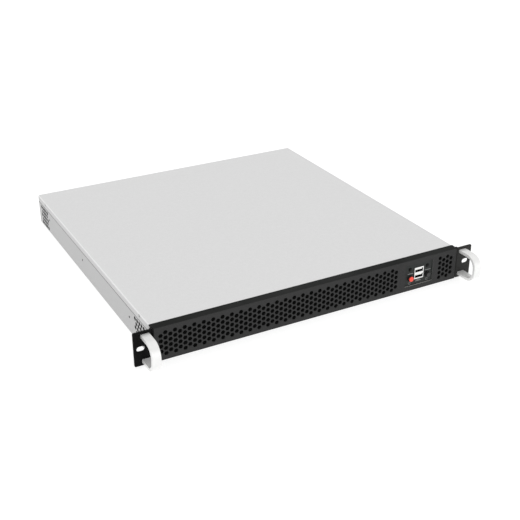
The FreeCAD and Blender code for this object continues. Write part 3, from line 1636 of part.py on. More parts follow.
def build():
    """Build every sub-part."""
    build_tray()
    build_cover()
    build_cover_screws()
    build_bezel()
    build_filters()
    for name, sign in (("left", -1), ("right", 1)):
        build_ear(name, sign)
        build_handle(name, sign)
    build_front_screws()
    build_control_bracket()
    build_button("power_button", control_columns[0])
    build_button("reset_button", control_columns[1])
    build_control_board()
    build_leds()
    tongues = build_usb()
    build_motherboard()
    build_processor()
    build_memory()
    build_board_parts()
    tongues += build_ports()
    node(grouped("usb_tongues", tongues), "usb_tongues")
    build_slot_cover()
    build_psu()
    build_psu_board()
    build_inlet()
    build_fans()
    build_drives()


def check():
    """Stop on any object that failed, and on any sub-part without a valid solid."""
    doc.recompute()
    for item in doc.Objects:
        if {"Invalid", "Error"} & set(item.State):
            raise RuntimeError(f"{item.Label} failed: {item.State}")
    for item in nodes:
        shape = item.Shape
        if shape.isNull() or not shape.isValid() or not shape.Solids:
            raise RuntimeError(f"{item.Label} has no valid solid")


def write():
    """Write each sub-part to its own STEP file."""
    os.makedirs("parts", exist_ok=True)
    for item in nodes:
        item.Shape.exportStep(f"parts/{item.Label}.step")
    print(len(nodes), "sub-parts")


build()
check()
write()
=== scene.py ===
"""Finishes and fine detail of a 1U rack server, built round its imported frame."""
import logging
import math
from dataclasses import dataclass, replace
from enum import Enum
from functools import cache, reduce
from typing import Any, Callable, ClassVar, Iterable, Sequence

import bmesh
import bpy
from mathutils import Euler, Matrix, Vector


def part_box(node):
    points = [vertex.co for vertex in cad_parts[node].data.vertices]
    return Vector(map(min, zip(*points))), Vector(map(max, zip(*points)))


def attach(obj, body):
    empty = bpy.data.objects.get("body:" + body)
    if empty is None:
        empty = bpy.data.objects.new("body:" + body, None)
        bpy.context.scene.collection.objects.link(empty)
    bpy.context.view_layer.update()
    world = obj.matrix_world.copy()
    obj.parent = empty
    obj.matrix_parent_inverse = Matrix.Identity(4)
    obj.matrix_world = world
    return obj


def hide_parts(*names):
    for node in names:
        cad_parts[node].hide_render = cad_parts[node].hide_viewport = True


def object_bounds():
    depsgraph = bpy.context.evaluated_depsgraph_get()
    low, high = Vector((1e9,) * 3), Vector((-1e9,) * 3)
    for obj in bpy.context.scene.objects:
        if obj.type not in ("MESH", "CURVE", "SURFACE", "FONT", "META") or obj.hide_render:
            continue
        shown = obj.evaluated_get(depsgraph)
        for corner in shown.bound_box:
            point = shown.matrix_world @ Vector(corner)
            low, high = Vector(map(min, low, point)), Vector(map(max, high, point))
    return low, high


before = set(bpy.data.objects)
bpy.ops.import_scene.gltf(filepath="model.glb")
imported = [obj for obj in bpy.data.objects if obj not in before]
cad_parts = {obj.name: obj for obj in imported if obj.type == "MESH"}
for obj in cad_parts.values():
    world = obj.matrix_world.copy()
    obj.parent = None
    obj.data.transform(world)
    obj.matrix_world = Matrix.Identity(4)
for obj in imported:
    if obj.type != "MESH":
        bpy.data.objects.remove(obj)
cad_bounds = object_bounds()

log = logging.getLogger("rack_server")

Colour = tuple[float, float, float]
Point = tuple[float, float, float]
Span = tuple[float, float]
Work = bmesh.types.BMesh

MM = 0.001
HAIR = 0.03 * MM
SAME = 1e-7
SHARP = math.radians(35.0)

# Parts of a noise's range: all of it, and the bands that hold most of its values
FULL: Span = (0.0, 1.0)
WIDE: Span = (0.3, 0.7)
TIGHT: Span = (0.35, 0.65)


class Facing(Enum):
    """Way that a piece's own +Z looks, as an XYZ rotation."""

    LEFT = (0.0, -math.pi / 2, 0.0)
    RIGHT = (0.0, math.pi / 2, 0.0)
    FRONT = (math.pi / 2, 0.0, 0.0)
    REAR = (-math.pi / 2, 0.0, 0.0)


class Body(Enum):
    """Bodies that added pieces ride on."""

    CHASSIS = "chassis"
    POWER_BUTTON = "power_button"


def middle(node: str) -> Vector:
    """Give the centre of a CAD node's box, in metres."""
    low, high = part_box(node)
    return (low + high) / 2


def shown(hexadecimal: str) -> Colour:
    """Turn a display colour of six digits into linear light."""
    channels = (int(hexadecimal[start:start + 2], 16) / 255 for start in (0, 2, 4))
    return tuple(c / 12.92 if c <= 0.04045 else ((c + 0.055) / 1.055) ** 2.4 for c in channels)


# Finishes

@dataclass(frozen=True)
class Pattern:
    """Noise in object space, or cells where a feature is named, in features a metre."""

    scale: float | Point
    detail: float = 2.0
    share: float = 1.0
    feature: str = ""


@dataclass(frozen=True)
class Zone:
    """Box in object coordinates where a finish takes a display colour of its own, as painted light
    or painted shade.
    """

    low: Point
    high: Point
    tone: str


Patterns = tuple[Pattern, ...]
Zones = tuple[Zone, ...]
WEAVE = Pattern((1400.0, 1400.0, 10.0), 1.0)
FUZZ = Pattern(2100.0, 3.0, 0.5)
THREADS = (Pattern(700.0, feature="F1"), FUZZ)
CAST_SAND = Pattern(900.0, 4.0)


class NodeGraph:
    """A node tree, with methods that add and link nodes."""

    def __init__(self, tree: bpy.types.NodeTree) -> None:
        """Work on a tree."""
        self.tree = tree

    def add(self, kind: str, inputs: dict[str | int, Any] | None = None, **settings: Any) -> Any:
        """Add a node and fill its inputs with values or links.

        Args:
            kind: Blender's name of the node type.
            inputs: Values, sockets or lists of sockets by input name or number.
            settings: Properties of the node itself.

        Returns:
            The new node.
        """
        node = self.tree.nodes.new(kind)
        for key, value in settings.items():
            setattr(node, key, value)
        for key, value in (inputs or {}).items():
            for part in value if isinstance(value, list) else [value]:
                self.set(node.inputs[key], part)
        return node

    def set(self, target: bpy.types.NodeSocket, value: Any) -> None:
        """Link a socket to an input, or give the input a value.

        Args:
            target: The input.
            value: A socket, a value, or a colour in linear light or in six digits.
        """
        if isinstance(value, bpy.types.NodeSocket):
            self.tree.links.new(value, target)
        elif target.type == "RGBA":
            target.default_value = (*(shown(value) if isinstance(value, str) else value), 1.0)
        else:
            target.default_value = value

    def math(self, operation: str, first: Any, second: Any = 0.0) -> Any:
        """Combine two values."""
        return self.add("ShaderNodeMath", {0: first, 1: second}, operation=operation).outputs[0]

    def joined(self, first: Any, second: Any, share: Any) -> Any:
        """Add a share of a second value to the first."""
        return self.math("ADD", first, self.math("MULTIPLY", second, share))


class ShaderGraph(NodeGraph):
    """A material's node tree with one principled shader."""

    def __init__(self, name: str) -> None:
        """Start a material with nothing but its shader and its output."""
        self.material = bpy.data.materials.new(name)
        self.material.use_nodes = True
        super().__init__(self.material.node_tree)
        self.tree.nodes.clear()
        self.shader = self.add("ShaderNodeBsdfPrincipled")
        self.add("ShaderNodeOutputMaterial", {"Surface": self.shader.outputs["BSDF"]})
        self.coordinates = self.add("ShaderNodeTexCoord").outputs["Object"]

    @cache
    def pattern(self, pattern: Pattern) -> Any:
        """Give a pattern's value, in full, from nodes that are added once."""
        inputs = {"Vector": self.coordinates, "Scale": pattern.scale}
        if isinstance(pattern.scale, tuple):
            stretched = self.add("ShaderNodeMapping", inputs).outputs["Vector"]
            inputs = {"Vector": stretched, "Scale": 1.0}
        if pattern.feature:
            cells = self.add("ShaderNodeTexVoronoi", inputs, feature=pattern.feature)
            return cells.outputs["Distance"]
        return self.add("ShaderNodeTexNoise", {**inputs, "Detail": pattern.detail}).outputs["Fac"]

    def total(self, patterns: Sequence[Pattern]) -> Any:
        """Add up patterns, each by its share."""
        shares = [self.math("MULTIPLY", self.pattern(one), one.share) for one in patterns]
        return reduce(lambda first, second: self.math("ADD", first, second), shares)

    def ramp(self, value: Any, ends: Span = FULL, band: Span = FULL) -> Any:
        """Map a band of a value to a range, held at its ends."""
        return self.add("ShaderNodeMapRange", {
            "Value": value, "From Min": band[0], "From Max": band[1],
            "To Min": ends[0], "To Max": ends[1]}).outputs["Result"]

    def blend(self, factor: Any, first: Any, second: Any) -> Any:
        """Mix two colours."""
        return self.add("ShaderNodeMix", {0: factor, 6: first, 7: second},
                        data_type="RGBA").outputs[2]

    def painted(self, colour: Any, zone: Zone) -> Any:
        """Lay a zone of painted light or painted shade over a colour."""
        axes = self.add("ShaderNodeSeparateXYZ", {"Vector": self.coordinates}).outputs
        mask = 1.0
        for axis, start, end in zip(axes, zone.low, zone.high):
            mask = self.math("MULTIPLY", mask, self.math("GREATER_THAN", axis, start))
            mask = self.math("MULTIPLY", mask, self.math("LESS_THAN", axis, end))
        return self.blend(mask, colour, zone.tone)


@dataclass(frozen=True)
class Finish:
    """Two tones in soft clouds over a fine relief, with zones of painted light and shade that lie
    over the colour.

    Colours are display colours in six digits. Without a second one, the first is lifted.
    Without a skin the clouds set the roughness, and without a relief the first of them bends
    the surface.
    """

    name: str
    first: str
    second: str = ""
    roughness: Span = (0.35, 0.5)
    metallic: float = 0.0
    shine: float = 0.5
    clearness: float = 0.0
    lift: float = 1.25
    lift_floor: float = 0.002
    clouds: Patterns = (Pattern(90.0, 3.0),)
    band: Span = TIGHT
    skin: Patterns = ()
    skin_band: Span = WIDE
    relief: Patterns = ()
    depth: float = 0.01 * MM
    strength: float = 1.0
    glow: float = 0.0
    zones: Zones = ()

    def tones(self) -> tuple[Colour, Colour]:
        """Give both tones in linear light."""
        first = shown(self.first)
        lifted = tuple(min(1.0, channel * self.lift + self.lift_floor) for channel in first)
        return first, shown(self.second) if self.second else lifted

    def factor(self, graph: ShaderGraph) -> Any:
        """Give the share of the second tone."""
        return graph.ramp(graph.total(self.clouds), band=self.band)

    def colour(self, graph: ShaderGraph) -> Any:
        """Give the colour under the zones."""
        return graph.blend(self.factor(graph), *self.tones())

    def build(self) -> bpy.types.Material:
        """Make the material."""
        graph = ShaderGraph(self.name)
        values = {
            "Base Color": reduce(graph.painted, self.zones, self.colour(graph)),
            "Metallic": self.metallic,
            "Roughness": graph.ramp(graph.total(self.skin or self.clouds), self.roughness,
                                    self.skin_band),
            "Specular IOR Level": self.shine,
            "Transmission Weight": self.clearness,
            "Emission Strength": self.glow,
        }
        if self.depth:
            relief = self.relief or (replace(self.clouds[0], share=1.0),)
            values["Normal"] = graph.add("ShaderNodeBump", {
                "Height": graph.total(relief), "Distance": self.depth,
                "Strength": self.strength}).outputs["Normal"]
        for key, value in values.items():
            graph.set(graph.shader.inputs[key], value)
        return graph.material


@dataclass(frozen=True)
class SheetSteel(Finish):
    """Plated steel sheet with fine grain and a trace of spangle."""

    roughness: Span = (0.48, 0.58)
    metallic: float = 0.2
    shine: float = 0.3
    clouds: Patterns = (Pattern(900.0, 4.0, 0.85), Pattern(240.0, share=0.2, feature="SMOOTH_F1"))
    band: Span = WIDE


@dataclass(frozen=True)
class PowderCoat(Finish):
    """Sprayed and baked black coat with a fine sandy texture that a haze wears."""

    roughness: Span = (0.5, 0.68)
    shine: float = 0.3
    clouds: Patterns = (Pattern(1500.0),)
    band: Span = (0.52, 0.72)
    skin: Patterns = (Pattern(14.0, 3.0),)
    relief: Patterns = (Pattern(1500.0), Pattern(500.0, share=0.6, feature="SMOOTH_F1"))
    depth: float = 0.05 * MM
    strength: float = 0.6
    haze: Span = (0.35, 1.0)

    def factor(self, graph: ShaderGraph) -> Any:
        """Give the share of the specks."""
        haze = graph.ramp(graph.total(self.skin), self.haze, TIGHT)
        return graph.math("MULTIPLY", super().factor(graph), haze)


@dataclass(frozen=True)
class BrushedAluminium(Finish):
    """Satin aluminium with fine lines along the bar."""

    metallic: float = 1.0
    clouds: Patterns = (Pattern((2600.0, 24.0, 24.0), 3.0, 0.5), Pattern(60.0, 3.0, 0.5))
    skin_band: Span = TIGHT
    depth: float = 0.006 * MM


@dataclass(frozen=True)
class Plastic(Finish):
    """Moulded plastic with a fine eroded grain."""

    relief: Patterns = (Pattern(2600.0),)


@dataclass(frozen=True)
class PlatedMetal(Finish):
    """Bright plating over stamped or turned metal, a little clouded and scratched."""

    roughness: Span = (0.2, 0.3)
    metallic: float = 1.0
    clouds: Patterns = (Pattern(900.0, 4.0),)
    relief: Patterns = (Pattern((300.0, 3200.0, 3200.0)),)
    depth: float = 0.004 * MM


@dataclass(frozen=True)
class CircuitBoard(Finish):
    """Solder mask over copper traces, with glass weave showing faintly."""

    roughness: Span = (0.28, 0.42)
    clouds: Patterns = (Pattern(45.0),)
    band: Span = (0.45, 0.55)
    skin: Patterns = (WEAVE,)
    skin_band: Span = FULL
    relief: Patterns = (WEAVE,)
    depth: float = 0.008 * MM
    pitch: float = 260.0

    def colour(self, graph: ShaderGraph) -> Any:
        """Give the mask's colour, with patches of traces."""
        mask, trace = self.tones()
        traces = graph.add("ShaderNodeTexBrick", {
            "Vector": graph.coordinates, "Scale": self.pitch,
            "Color1": mask, "Color2": mask, "Mortar": trace,
            "Mortar Size": 0.12, "Brick Width": 2.4, "Row Height": 0.5,
        })
        return graph.blend(self.factor(graph), mask, traces.outputs["Color"])


@dataclass(frozen=True)
class SmokedLens(Finish):
    """Unlit lamp lens: dark, smooth and slightly clear."""

    roughness: Span = (0.05, 0.12)
    shine: float = 0.12
    clearness: float = 0.05
    lift: float = 1.6
    lift_floor: float = 0.0
    clouds: Patterns = (Pattern(700.0),)
    band: Span = FULL
    skin_band: Span = FULL
    depth: float = 0.0


@dataclass(frozen=True)
class FibreMat(Finish):
    """Open mat of fibre: matt and deeply pitted."""

    roughness: Span = (0.85, 1.0)
    shine: float = 0.0
    clouds: Patterns = THREADS
    band: Span = (0.3, 0.9)
    skin: Patterns = (replace(FUZZ, share=1.0),)
    skin_band: Span = FULL
    relief: Patterns = THREADS
    depth: float = 0.6 * MM


@dataclass(frozen=True)
class CastMetal(Finish):
    """Cast and machined drive housing with a mottled, sandy skin."""

    roughness: Span = (0.4, 0.65)
    metallic: float = 0.9
    clouds: Patterns = (Pattern(70.0, 3.0),)
    band: Span = FULL
    skin: Patterns = (CAST_SAND,)
    skin_band: Span = FULL
    relief: Patterns = (CAST_SAND,)
    depth: float = 0.04 * MM
    strength: float = 0.5


@dataclass(frozen=True)
class PaintedLight:
    """Painted light and shade on the folded sheets and sockets, placed from the CAD boxes, in
    millimetres.
    """

    # Height of the painted shadow line under the cover's seam
    seam: float = 0.75
    tray_sheet: float = 1.15
    tray_bend: float = 1.55
    # Top of the painted shade on the side lips, below the cover's top
    lip_bend: float = 2.0
    # Height of the painted shadow line along each lip's lower edge
    lip_shadow_height: float = 0.4
    # Place of the painted highlight along each top bend
    highlight_inset: float = 0.8
    highlight_half: float = 0.5
    highlight_drop: Span = (1.3, 0.2)
    # Window placing, used for the painted sill highlight and the painted light on the right jamb
    window_margin: float = 2.0
    window_height: float = 30.6
    window_sheet: float = 1.3
    socket_rim: Span = (0.8, 0.6)

    @staticmethod
    def strip(node: str, x: Span, z: Span, tone: str, beyond: float = HAIR) -> Zone:
        """Give a zone along a sheet's whole depth, between two x and two z."""
        low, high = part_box(node)
        return Zone((x[0], low.y - HAIR, z[0]), (x[1], high.y + beyond, z[1]), tone)

    def tray(self) -> Zones:
        """Give the painted shadow line under the cover's seam, and painted shade on the tray's
        inner faces and on the walls of its punched holes.
        """
        low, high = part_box("base_tray")
        seam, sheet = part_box("top_cover")[0].z, self.tray_sheet * MM
        # Painted shadow: a dark strip down each outer side, just under the cover's seam
        edges = (self.strip("base_tray", (x - HAIR, x + HAIR), (seam - self.seam * MM, seam),
                            "7a7a7a") for x in (low.x, high.x))
        # Painted shade: a dark tone on the tray's inner faces and on the walls of its holes, where
        # little light reaches
        inner = (self.strip("base_tray", (low.x + side, high.x - side),
                            (low.z + foot, high.z + HAIR), "1e1e1e", -HAIR)
                 for side, foot in ((HAIR, self.tray_bend * MM), (sheet, sheet)))
        return *edges, *inner

    def cover(self) -> Zones:
        """Give a painted highlight along the cover's bends, painted shade on its side lips and a
        painted shadow line along their lower edges.
        """
        low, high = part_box("top_cover")
        half = self.highlight_half * MM
        # Painted highlight: a bright line along each top bend
        crease = tuple(high.z - drop * MM for drop in self.highlight_drop)
        # Painted shade: the side lips darker than the top
        lip = (low.z - HAIR, high.z - self.lip_bend * MM)
        # Painted shadow: a dark line along each lip's lower edge
        shadow_edge = (low.z - HAIR, low.z + self.lip_shadow_height * MM)
        zones = []
        for x, inset in ((low.x, self.highlight_inset * MM), (high.x, -self.highlight_inset * MM)):
            line, skin = (x + inset - half, x + inset + half), (x - HAIR, x + HAIR)
            zones += [self.strip("top_cover", *place) for place in (
                (line, crease, "f6f6f6"), (skin, lip, "cacaca"), (skin, shadow_edge, "8e8e8e"))]
        return tuple(zones)

    def bezel(self) -> Zones:
        """Give painted shade on the bezel's roof, a painted highlight on its window's sill and
        painted light on the window's right jamb.
        """
        low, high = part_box("front_bezel")
        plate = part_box("control_bracket")
        margin = self.window_margin * MM
        left, right, head = plate[0].x + margin, plate[1].x - margin, plate[1].z - margin
        sill = head - self.window_height * MM
        front, back = low.y + HAIR, low.y + self.window_sheet * MM
        return (
            # Painted shade: the roof darker than the face
            Zone((low.x - HAIR, low.y, high.z - HAIR),
                 (high.x + HAIR, high.y + HAIR, high.z + HAIR), "0c0f0d"),
            # Painted highlight: a light line on the window's sill
            Zone((left, front, sill - HAIR), (right, back, sill + HAIR), "b0afac"),
            # Painted light: the window's right jamb lightened out of its shade
            Zone((right - HAIR, front, sill), (right + HAIR, back, head), "6a6a69"),
        )

    def depths(self, *nodes: str, rear: bool = False) -> Zones:
        """Give the shaded insides of sockets that open to the front or the rear."""
        front, back = (-MM, -self.socket_rim[1] * MM) if rear else (self.socket_rim[0] * MM, MM)
        return tuple(
            Zone((low.x - MM, low.y + front, low.z - MM), (high.x + MM, high.y + back, high.z + MM),
                 "161616") for low, high in map(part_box, nodes))


PAINTED_LIGHT = PaintedLight()

STEEL = SheetSteel("cover_steel", "e0e0e0", "e8e8e8", zones=PAINTED_LIGHT.cover())
# Painted shade: the cover's steel in darker tones, for the side walls
SHADED_TRAY_STEEL = SheetSteel("shaded_tray_steel", "bfbfbf", "c6c6c6", (0.6, 0.7), 0.03, 0.05,
                        zones=PAINTED_LIGHT.tray())
REAR_STEEL = SheetSteel("rear_steel", "acacaa", "bcbcba", metallic=0.8)
# Painted shade: the inner brackets' steel darkened, as they sit in shade behind the vents
SHADED_INNER_STEEL = SheetSteel("shaded_inner_steel", "50504e", "62625f", metallic=0.5)
FACE_COAT = PowderCoat("front_coat", "313131", "3e3e3e", shine=0.15, zones=PAINTED_LIGHT.bezel())
# Painted shade: the near ear's coat darker than the bezel's
NEAR_EAR_SHADED_COAT = PowderCoat("ear_coat", "050505", "101010", shine=0.1)
# Painted sheen: the far ear's coat lighter, as if a softbox shone on it
FAR_EAR_LIT_COAT = PowderCoat("far_ear_lit_coat", "2b2b2a", "363635", shine=0.15)
PANEL_COAT = PowderCoat("control_coat", "222524", "343635")
HANDLE = BrushedAluminium("handle_aluminium", "ebebea", "f4f4f3", (0.34, 0.46), 0.35)
FINS = BrushedAluminium(
    "fin_aluminium", "b8babc", "d0d2d4", (0.3, 0.5),
    clouds=(Pattern((30.0, 30.0, 1800.0), 3.0, 0.5), Pattern(60.0, 3.0, 0.5)))
NICKEL = PlatedMetal("nickel_plate", "d2d2d0", "e4e4e2")
USB_METAL = PlatedMetal("usb_plate", "e8e8e7", "f4f4f3", zones=PAINTED_LIGHT.depths("usb_shell"))
JACK_METAL = PlatedMetal(
    "jack_plate", "cbcbc9", "dcdcda",
    zones=PAINTED_LIGHT.depths("network_port_left", "network_port_right", rear=True))
SCREW = PlatedMetal("screw_plate", "9a9a99", "c4c4c3")
BLACK_SCREW = PlatedMetal("black_screw_plate", "181818", "2c2c2c")
GOLD = PlatedMetal("contact_gold", "c99c3e", "e6bf62")
BRASS = PlatedMetal("spacer_brass", "a9853c", "cfa85a")
BLACK = Plastic("black_plastic", "1c1c1c")
DARK_BUTTON = Plastic("dark_button_plastic", "242424", roughness=(0.3, 0.42))
RED = Plastic("red_button_plastic", "ee4837", roughness=(0.22, 0.34), lift=1.15)
WHITE = Plastic("white_plastic", "f2f2ee", roughness=(0.3, 0.42), lift=1.02)
BLUE = Plastic("display_insert", "24418c")
INK = Plastic("panel_ink", "868886", roughness=(0.5, 0.6), lift=1.1)
BOARD = CircuitBoard("board_mask", "1c5a34", "2f7a48")
LENS = SmokedLens("lamp_lens", "0c0b0b")
MAT = FibreMat("filter_fibre", "050505", "101010")
CAST = CastMetal("drive_casting", "8a8c8e", "b2b4b6")


@cache
def made(finish: Finish) -> bpy.types.Material:
    """Give a finish's material, which is built the first time."""
    return finish.build()


# Meshes and pieces

class GeometryGraph(NodeGraph):
    """A Geometry Nodes tree with named inputs."""

    def __init__(self, name: str) -> None:
        """Start a tree with a geometry input and a geometry output."""
        super().__init__(bpy.data.node_groups.new(name, "GeometryNodeTree"))
        self.identifiers: dict[str, str] = {}
        for way in ("INPUT", "OUTPUT"):
            self.tree.interface.new_socket("Geometry", in_out=way,
                                           socket_type="NodeSocketGeometry")
        self.entry = self.add("NodeGroupInput")

    def input(self, name: str, kind: str = "Float") -> Any:
        """Add a named input and give its socket inside the tree."""
        item = self.tree.interface.new_socket(name, in_out="INPUT",
                                              socket_type=f"NodeSocket{kind}")
        self.identifiers[name] = item.identifier
        return self.entry.outputs[name]

    def vector(self, x: Any = 0.0, y: Any = 0.0, z: Any = 0.0) -> Any:
        """Join three values into a vector."""
        return self.add("ShaderNodeCombineXYZ", {0: x, 1: y, 2: z}).outputs[0]

    def dropped(self, geometry: Any, depth: Any) -> Any:
        """Move geometry down."""
        return self.add("GeometryNodeTransform", {
            "Geometry": geometry, "Translation": self.vector(z=self.math("MULTIPLY", depth, -1)),
        }).outputs["Geometry"]

    def on_points(self, points: Any, instance: Any, **more: Any) -> Any:
        """Put an instance on every point."""
        return self.add("GeometryNodeInstanceOnPoints", {
            "Points": points, "Instance": instance, **more}).outputs[0]

    def finish(self, geometry: Any) -> "GeometryGraph":
        """End the tree in Realize Instances and Set Material."""
        material = self.input("Material", "Material")
        real = self.add("GeometryNodeRealizeInstances", {"Geometry": geometry})
        dressed = self.add("GeometryNodeSetMaterial", {
            "Geometry": real.outputs["Geometry"], "Material": material})
        self.add("NodeGroupOutput", {"Geometry": dressed.outputs["Geometry"]})
        return self


def linked(name: str, data: Any) -> bpy.types.Object:
    """Make an object and put it into the scene."""
    item = bpy.data.objects.new(name, data)
    bpy.context.scene.collection.objects.link(item)
    return item


def tidy_mesh(mesh: bpy.types.Mesh) -> None:
    """Merge doubles, point the faces outwards and keep steep edges sharp."""
    work = bmesh.new()
    work.from_mesh(mesh)
    bmesh.ops.remove_doubles(work, verts=work.verts, dist=SAME)
    bmesh.ops.recalc_face_normals(work, faces=work.faces)
    work.to_mesh(mesh)
    work.free()
    mesh.shade_smooth()
    mesh.set_sharp_from_angle(angle=SHARP)


def bake(name: str, graph: GeometryGraph, places: Iterable[Point], finish: Finish,
         values: dict[str, Any]) -> bpy.types.Object:
    """Run a geometry tree on loose points and keep the result as a plain mesh.

    Args:
        name: Name of the piece.
        graph: The tree to run.
        places: The points, in metres.
        finish: Finish of the result.
        values: The tree's inputs by name.

    Returns:
        An object with no modifier.
    """
    points = bpy.data.meshes.new(name)
    points.from_pydata([tuple(place) for place in places], [], [])
    carrier = linked(name, points)
    modifier = carrier.modifiers.new("build", "NODES")
    modifier.node_group = graph.tree
    for key, value in {**values, "Material": made(finish)}.items():
        modifier[graph.identifiers[key]] = value
    depsgraph = bpy.context.evaluated_depsgraph_get()
    mesh = bpy.data.meshes.new_from_object(carrier.evaluated_get(depsgraph))
    carrier.modifiers.clear()
    carrier.data = mesh
    mesh.name = name
    tidy_mesh(mesh)
    return carrier


def mesh_piece(name: str, finish: Finish, fill: Callable[[Work], None]) -> bpy.types.Object:
    """Make an object from a function that fills a bmesh in place.

    Args:
        name: Name of the piece.
        finish: Its finish.
        fill: Adds the faces.

    Returns:
        The object.
    """
    work = bmesh.new()
    fill(work)
    mesh = bpy.data.meshes.new(name)
    work.to_mesh(mesh)
    work.free()
    mesh.materials.append(made(finish))
    tidy_mesh(mesh)
    return linked(name, mesh)


def keep(piece: bpy.types.Object, slot: str, *replaces: str, body: Body = Body.CHASSIS) -> None:
    """Attach a finished piece to its body and hide the CAD nodes that it stands for.

    Args:
        piece: The object.
        slot: Its material slot in the record; not used.
        replaces: CAD nodes that it stands for.
        body: Body that it rides on.
    """
    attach(piece, body.value)
    if replaces:
        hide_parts(*replaces)
    log.info("%s: %d faces on %s", piece.name, len(piece.data.polygons), body.value)


def add_box(work: Work, low: Sequence[float], high: Sequence[float], bevel: float = 0.0) -> None:
    """Add a box.

    Args:
        work: Takes the faces.
        low: The lower corner.
        high: The upper corner.
        bevel: Width of its rounded edges.
    """
    size = [b - a for a, b in zip(low, high)]
    centre = [(a + b) / 2 for a, b in zip(low, high)]
    matrix = Matrix.Translation(centre) @ Matrix.Diagonal((*size, 1.0))
    cube = bmesh.ops.create_cube(work, size=1.0, matrix=matrix)
    if bevel:
        edges = {edge for vertex in cube["verts"] for edge in vertex.link_edges}
        bmesh.ops.bevel(work, geom=list(edges), offset=bevel, segments=2, profile=0.5,
                        affect="EDGES")


def add_turned(work: Work, profile: Iterable[Span], centre: Point, facing: Facing,
               steps: int = 40) -> None:
    """Spin a profile about an axis.

    Args:
        work: Takes the faces.
        profile: Radii and heights, in millimetres.
        centre: Foot of the axis, in metres.
        facing: Way that the axis looks.
        steps: Sides of a full turn.
    """
    rings = []
    matrix = Matrix.LocRotScale(centre, Euler(facing.value), (MM, MM, MM))
    for radius, height in profile:
        turns = (math.tau * step / steps for step in range(steps if radius else 1))
        rings.append([work.verts.new(matrix @ Vector((
            radius * math.cos(turn), radius * math.sin(turn), height))) for turn in turns])
    for lower, upper in zip(rings, rings[1:]):
        for step in range(steps):
            following = (step + 1) % steps
            corners = dict.fromkeys((
                lower[step % len(lower)], lower[following % len(lower)],
                upper[following % len(upper)], upper[step % len(upper)]))
            if len(corners) > 2:
                work.faces.new(tuple(corners))


def add_loft(work: Work, rings: Sequence[Sequence[Point]]) -> None:
    """Skin a solid through closed rings and cap both of its ends.

    Args:
        work: Takes the faces.
        rings: Rings of equal length, in metres.
    """
    loops = [[work.verts.new(point) for point in ring] for ring in rings]
    for lower, upper in zip(loops, loops[1:]):
        for step, vertex in enumerate(lower):
            following = (step + 1) % len(lower)
            work.faces.new((vertex, lower[following], upper[following], upper[step]))
    work.faces.new(loops[0])
    work.faces.new(loops[-1])


# Repeated hardware

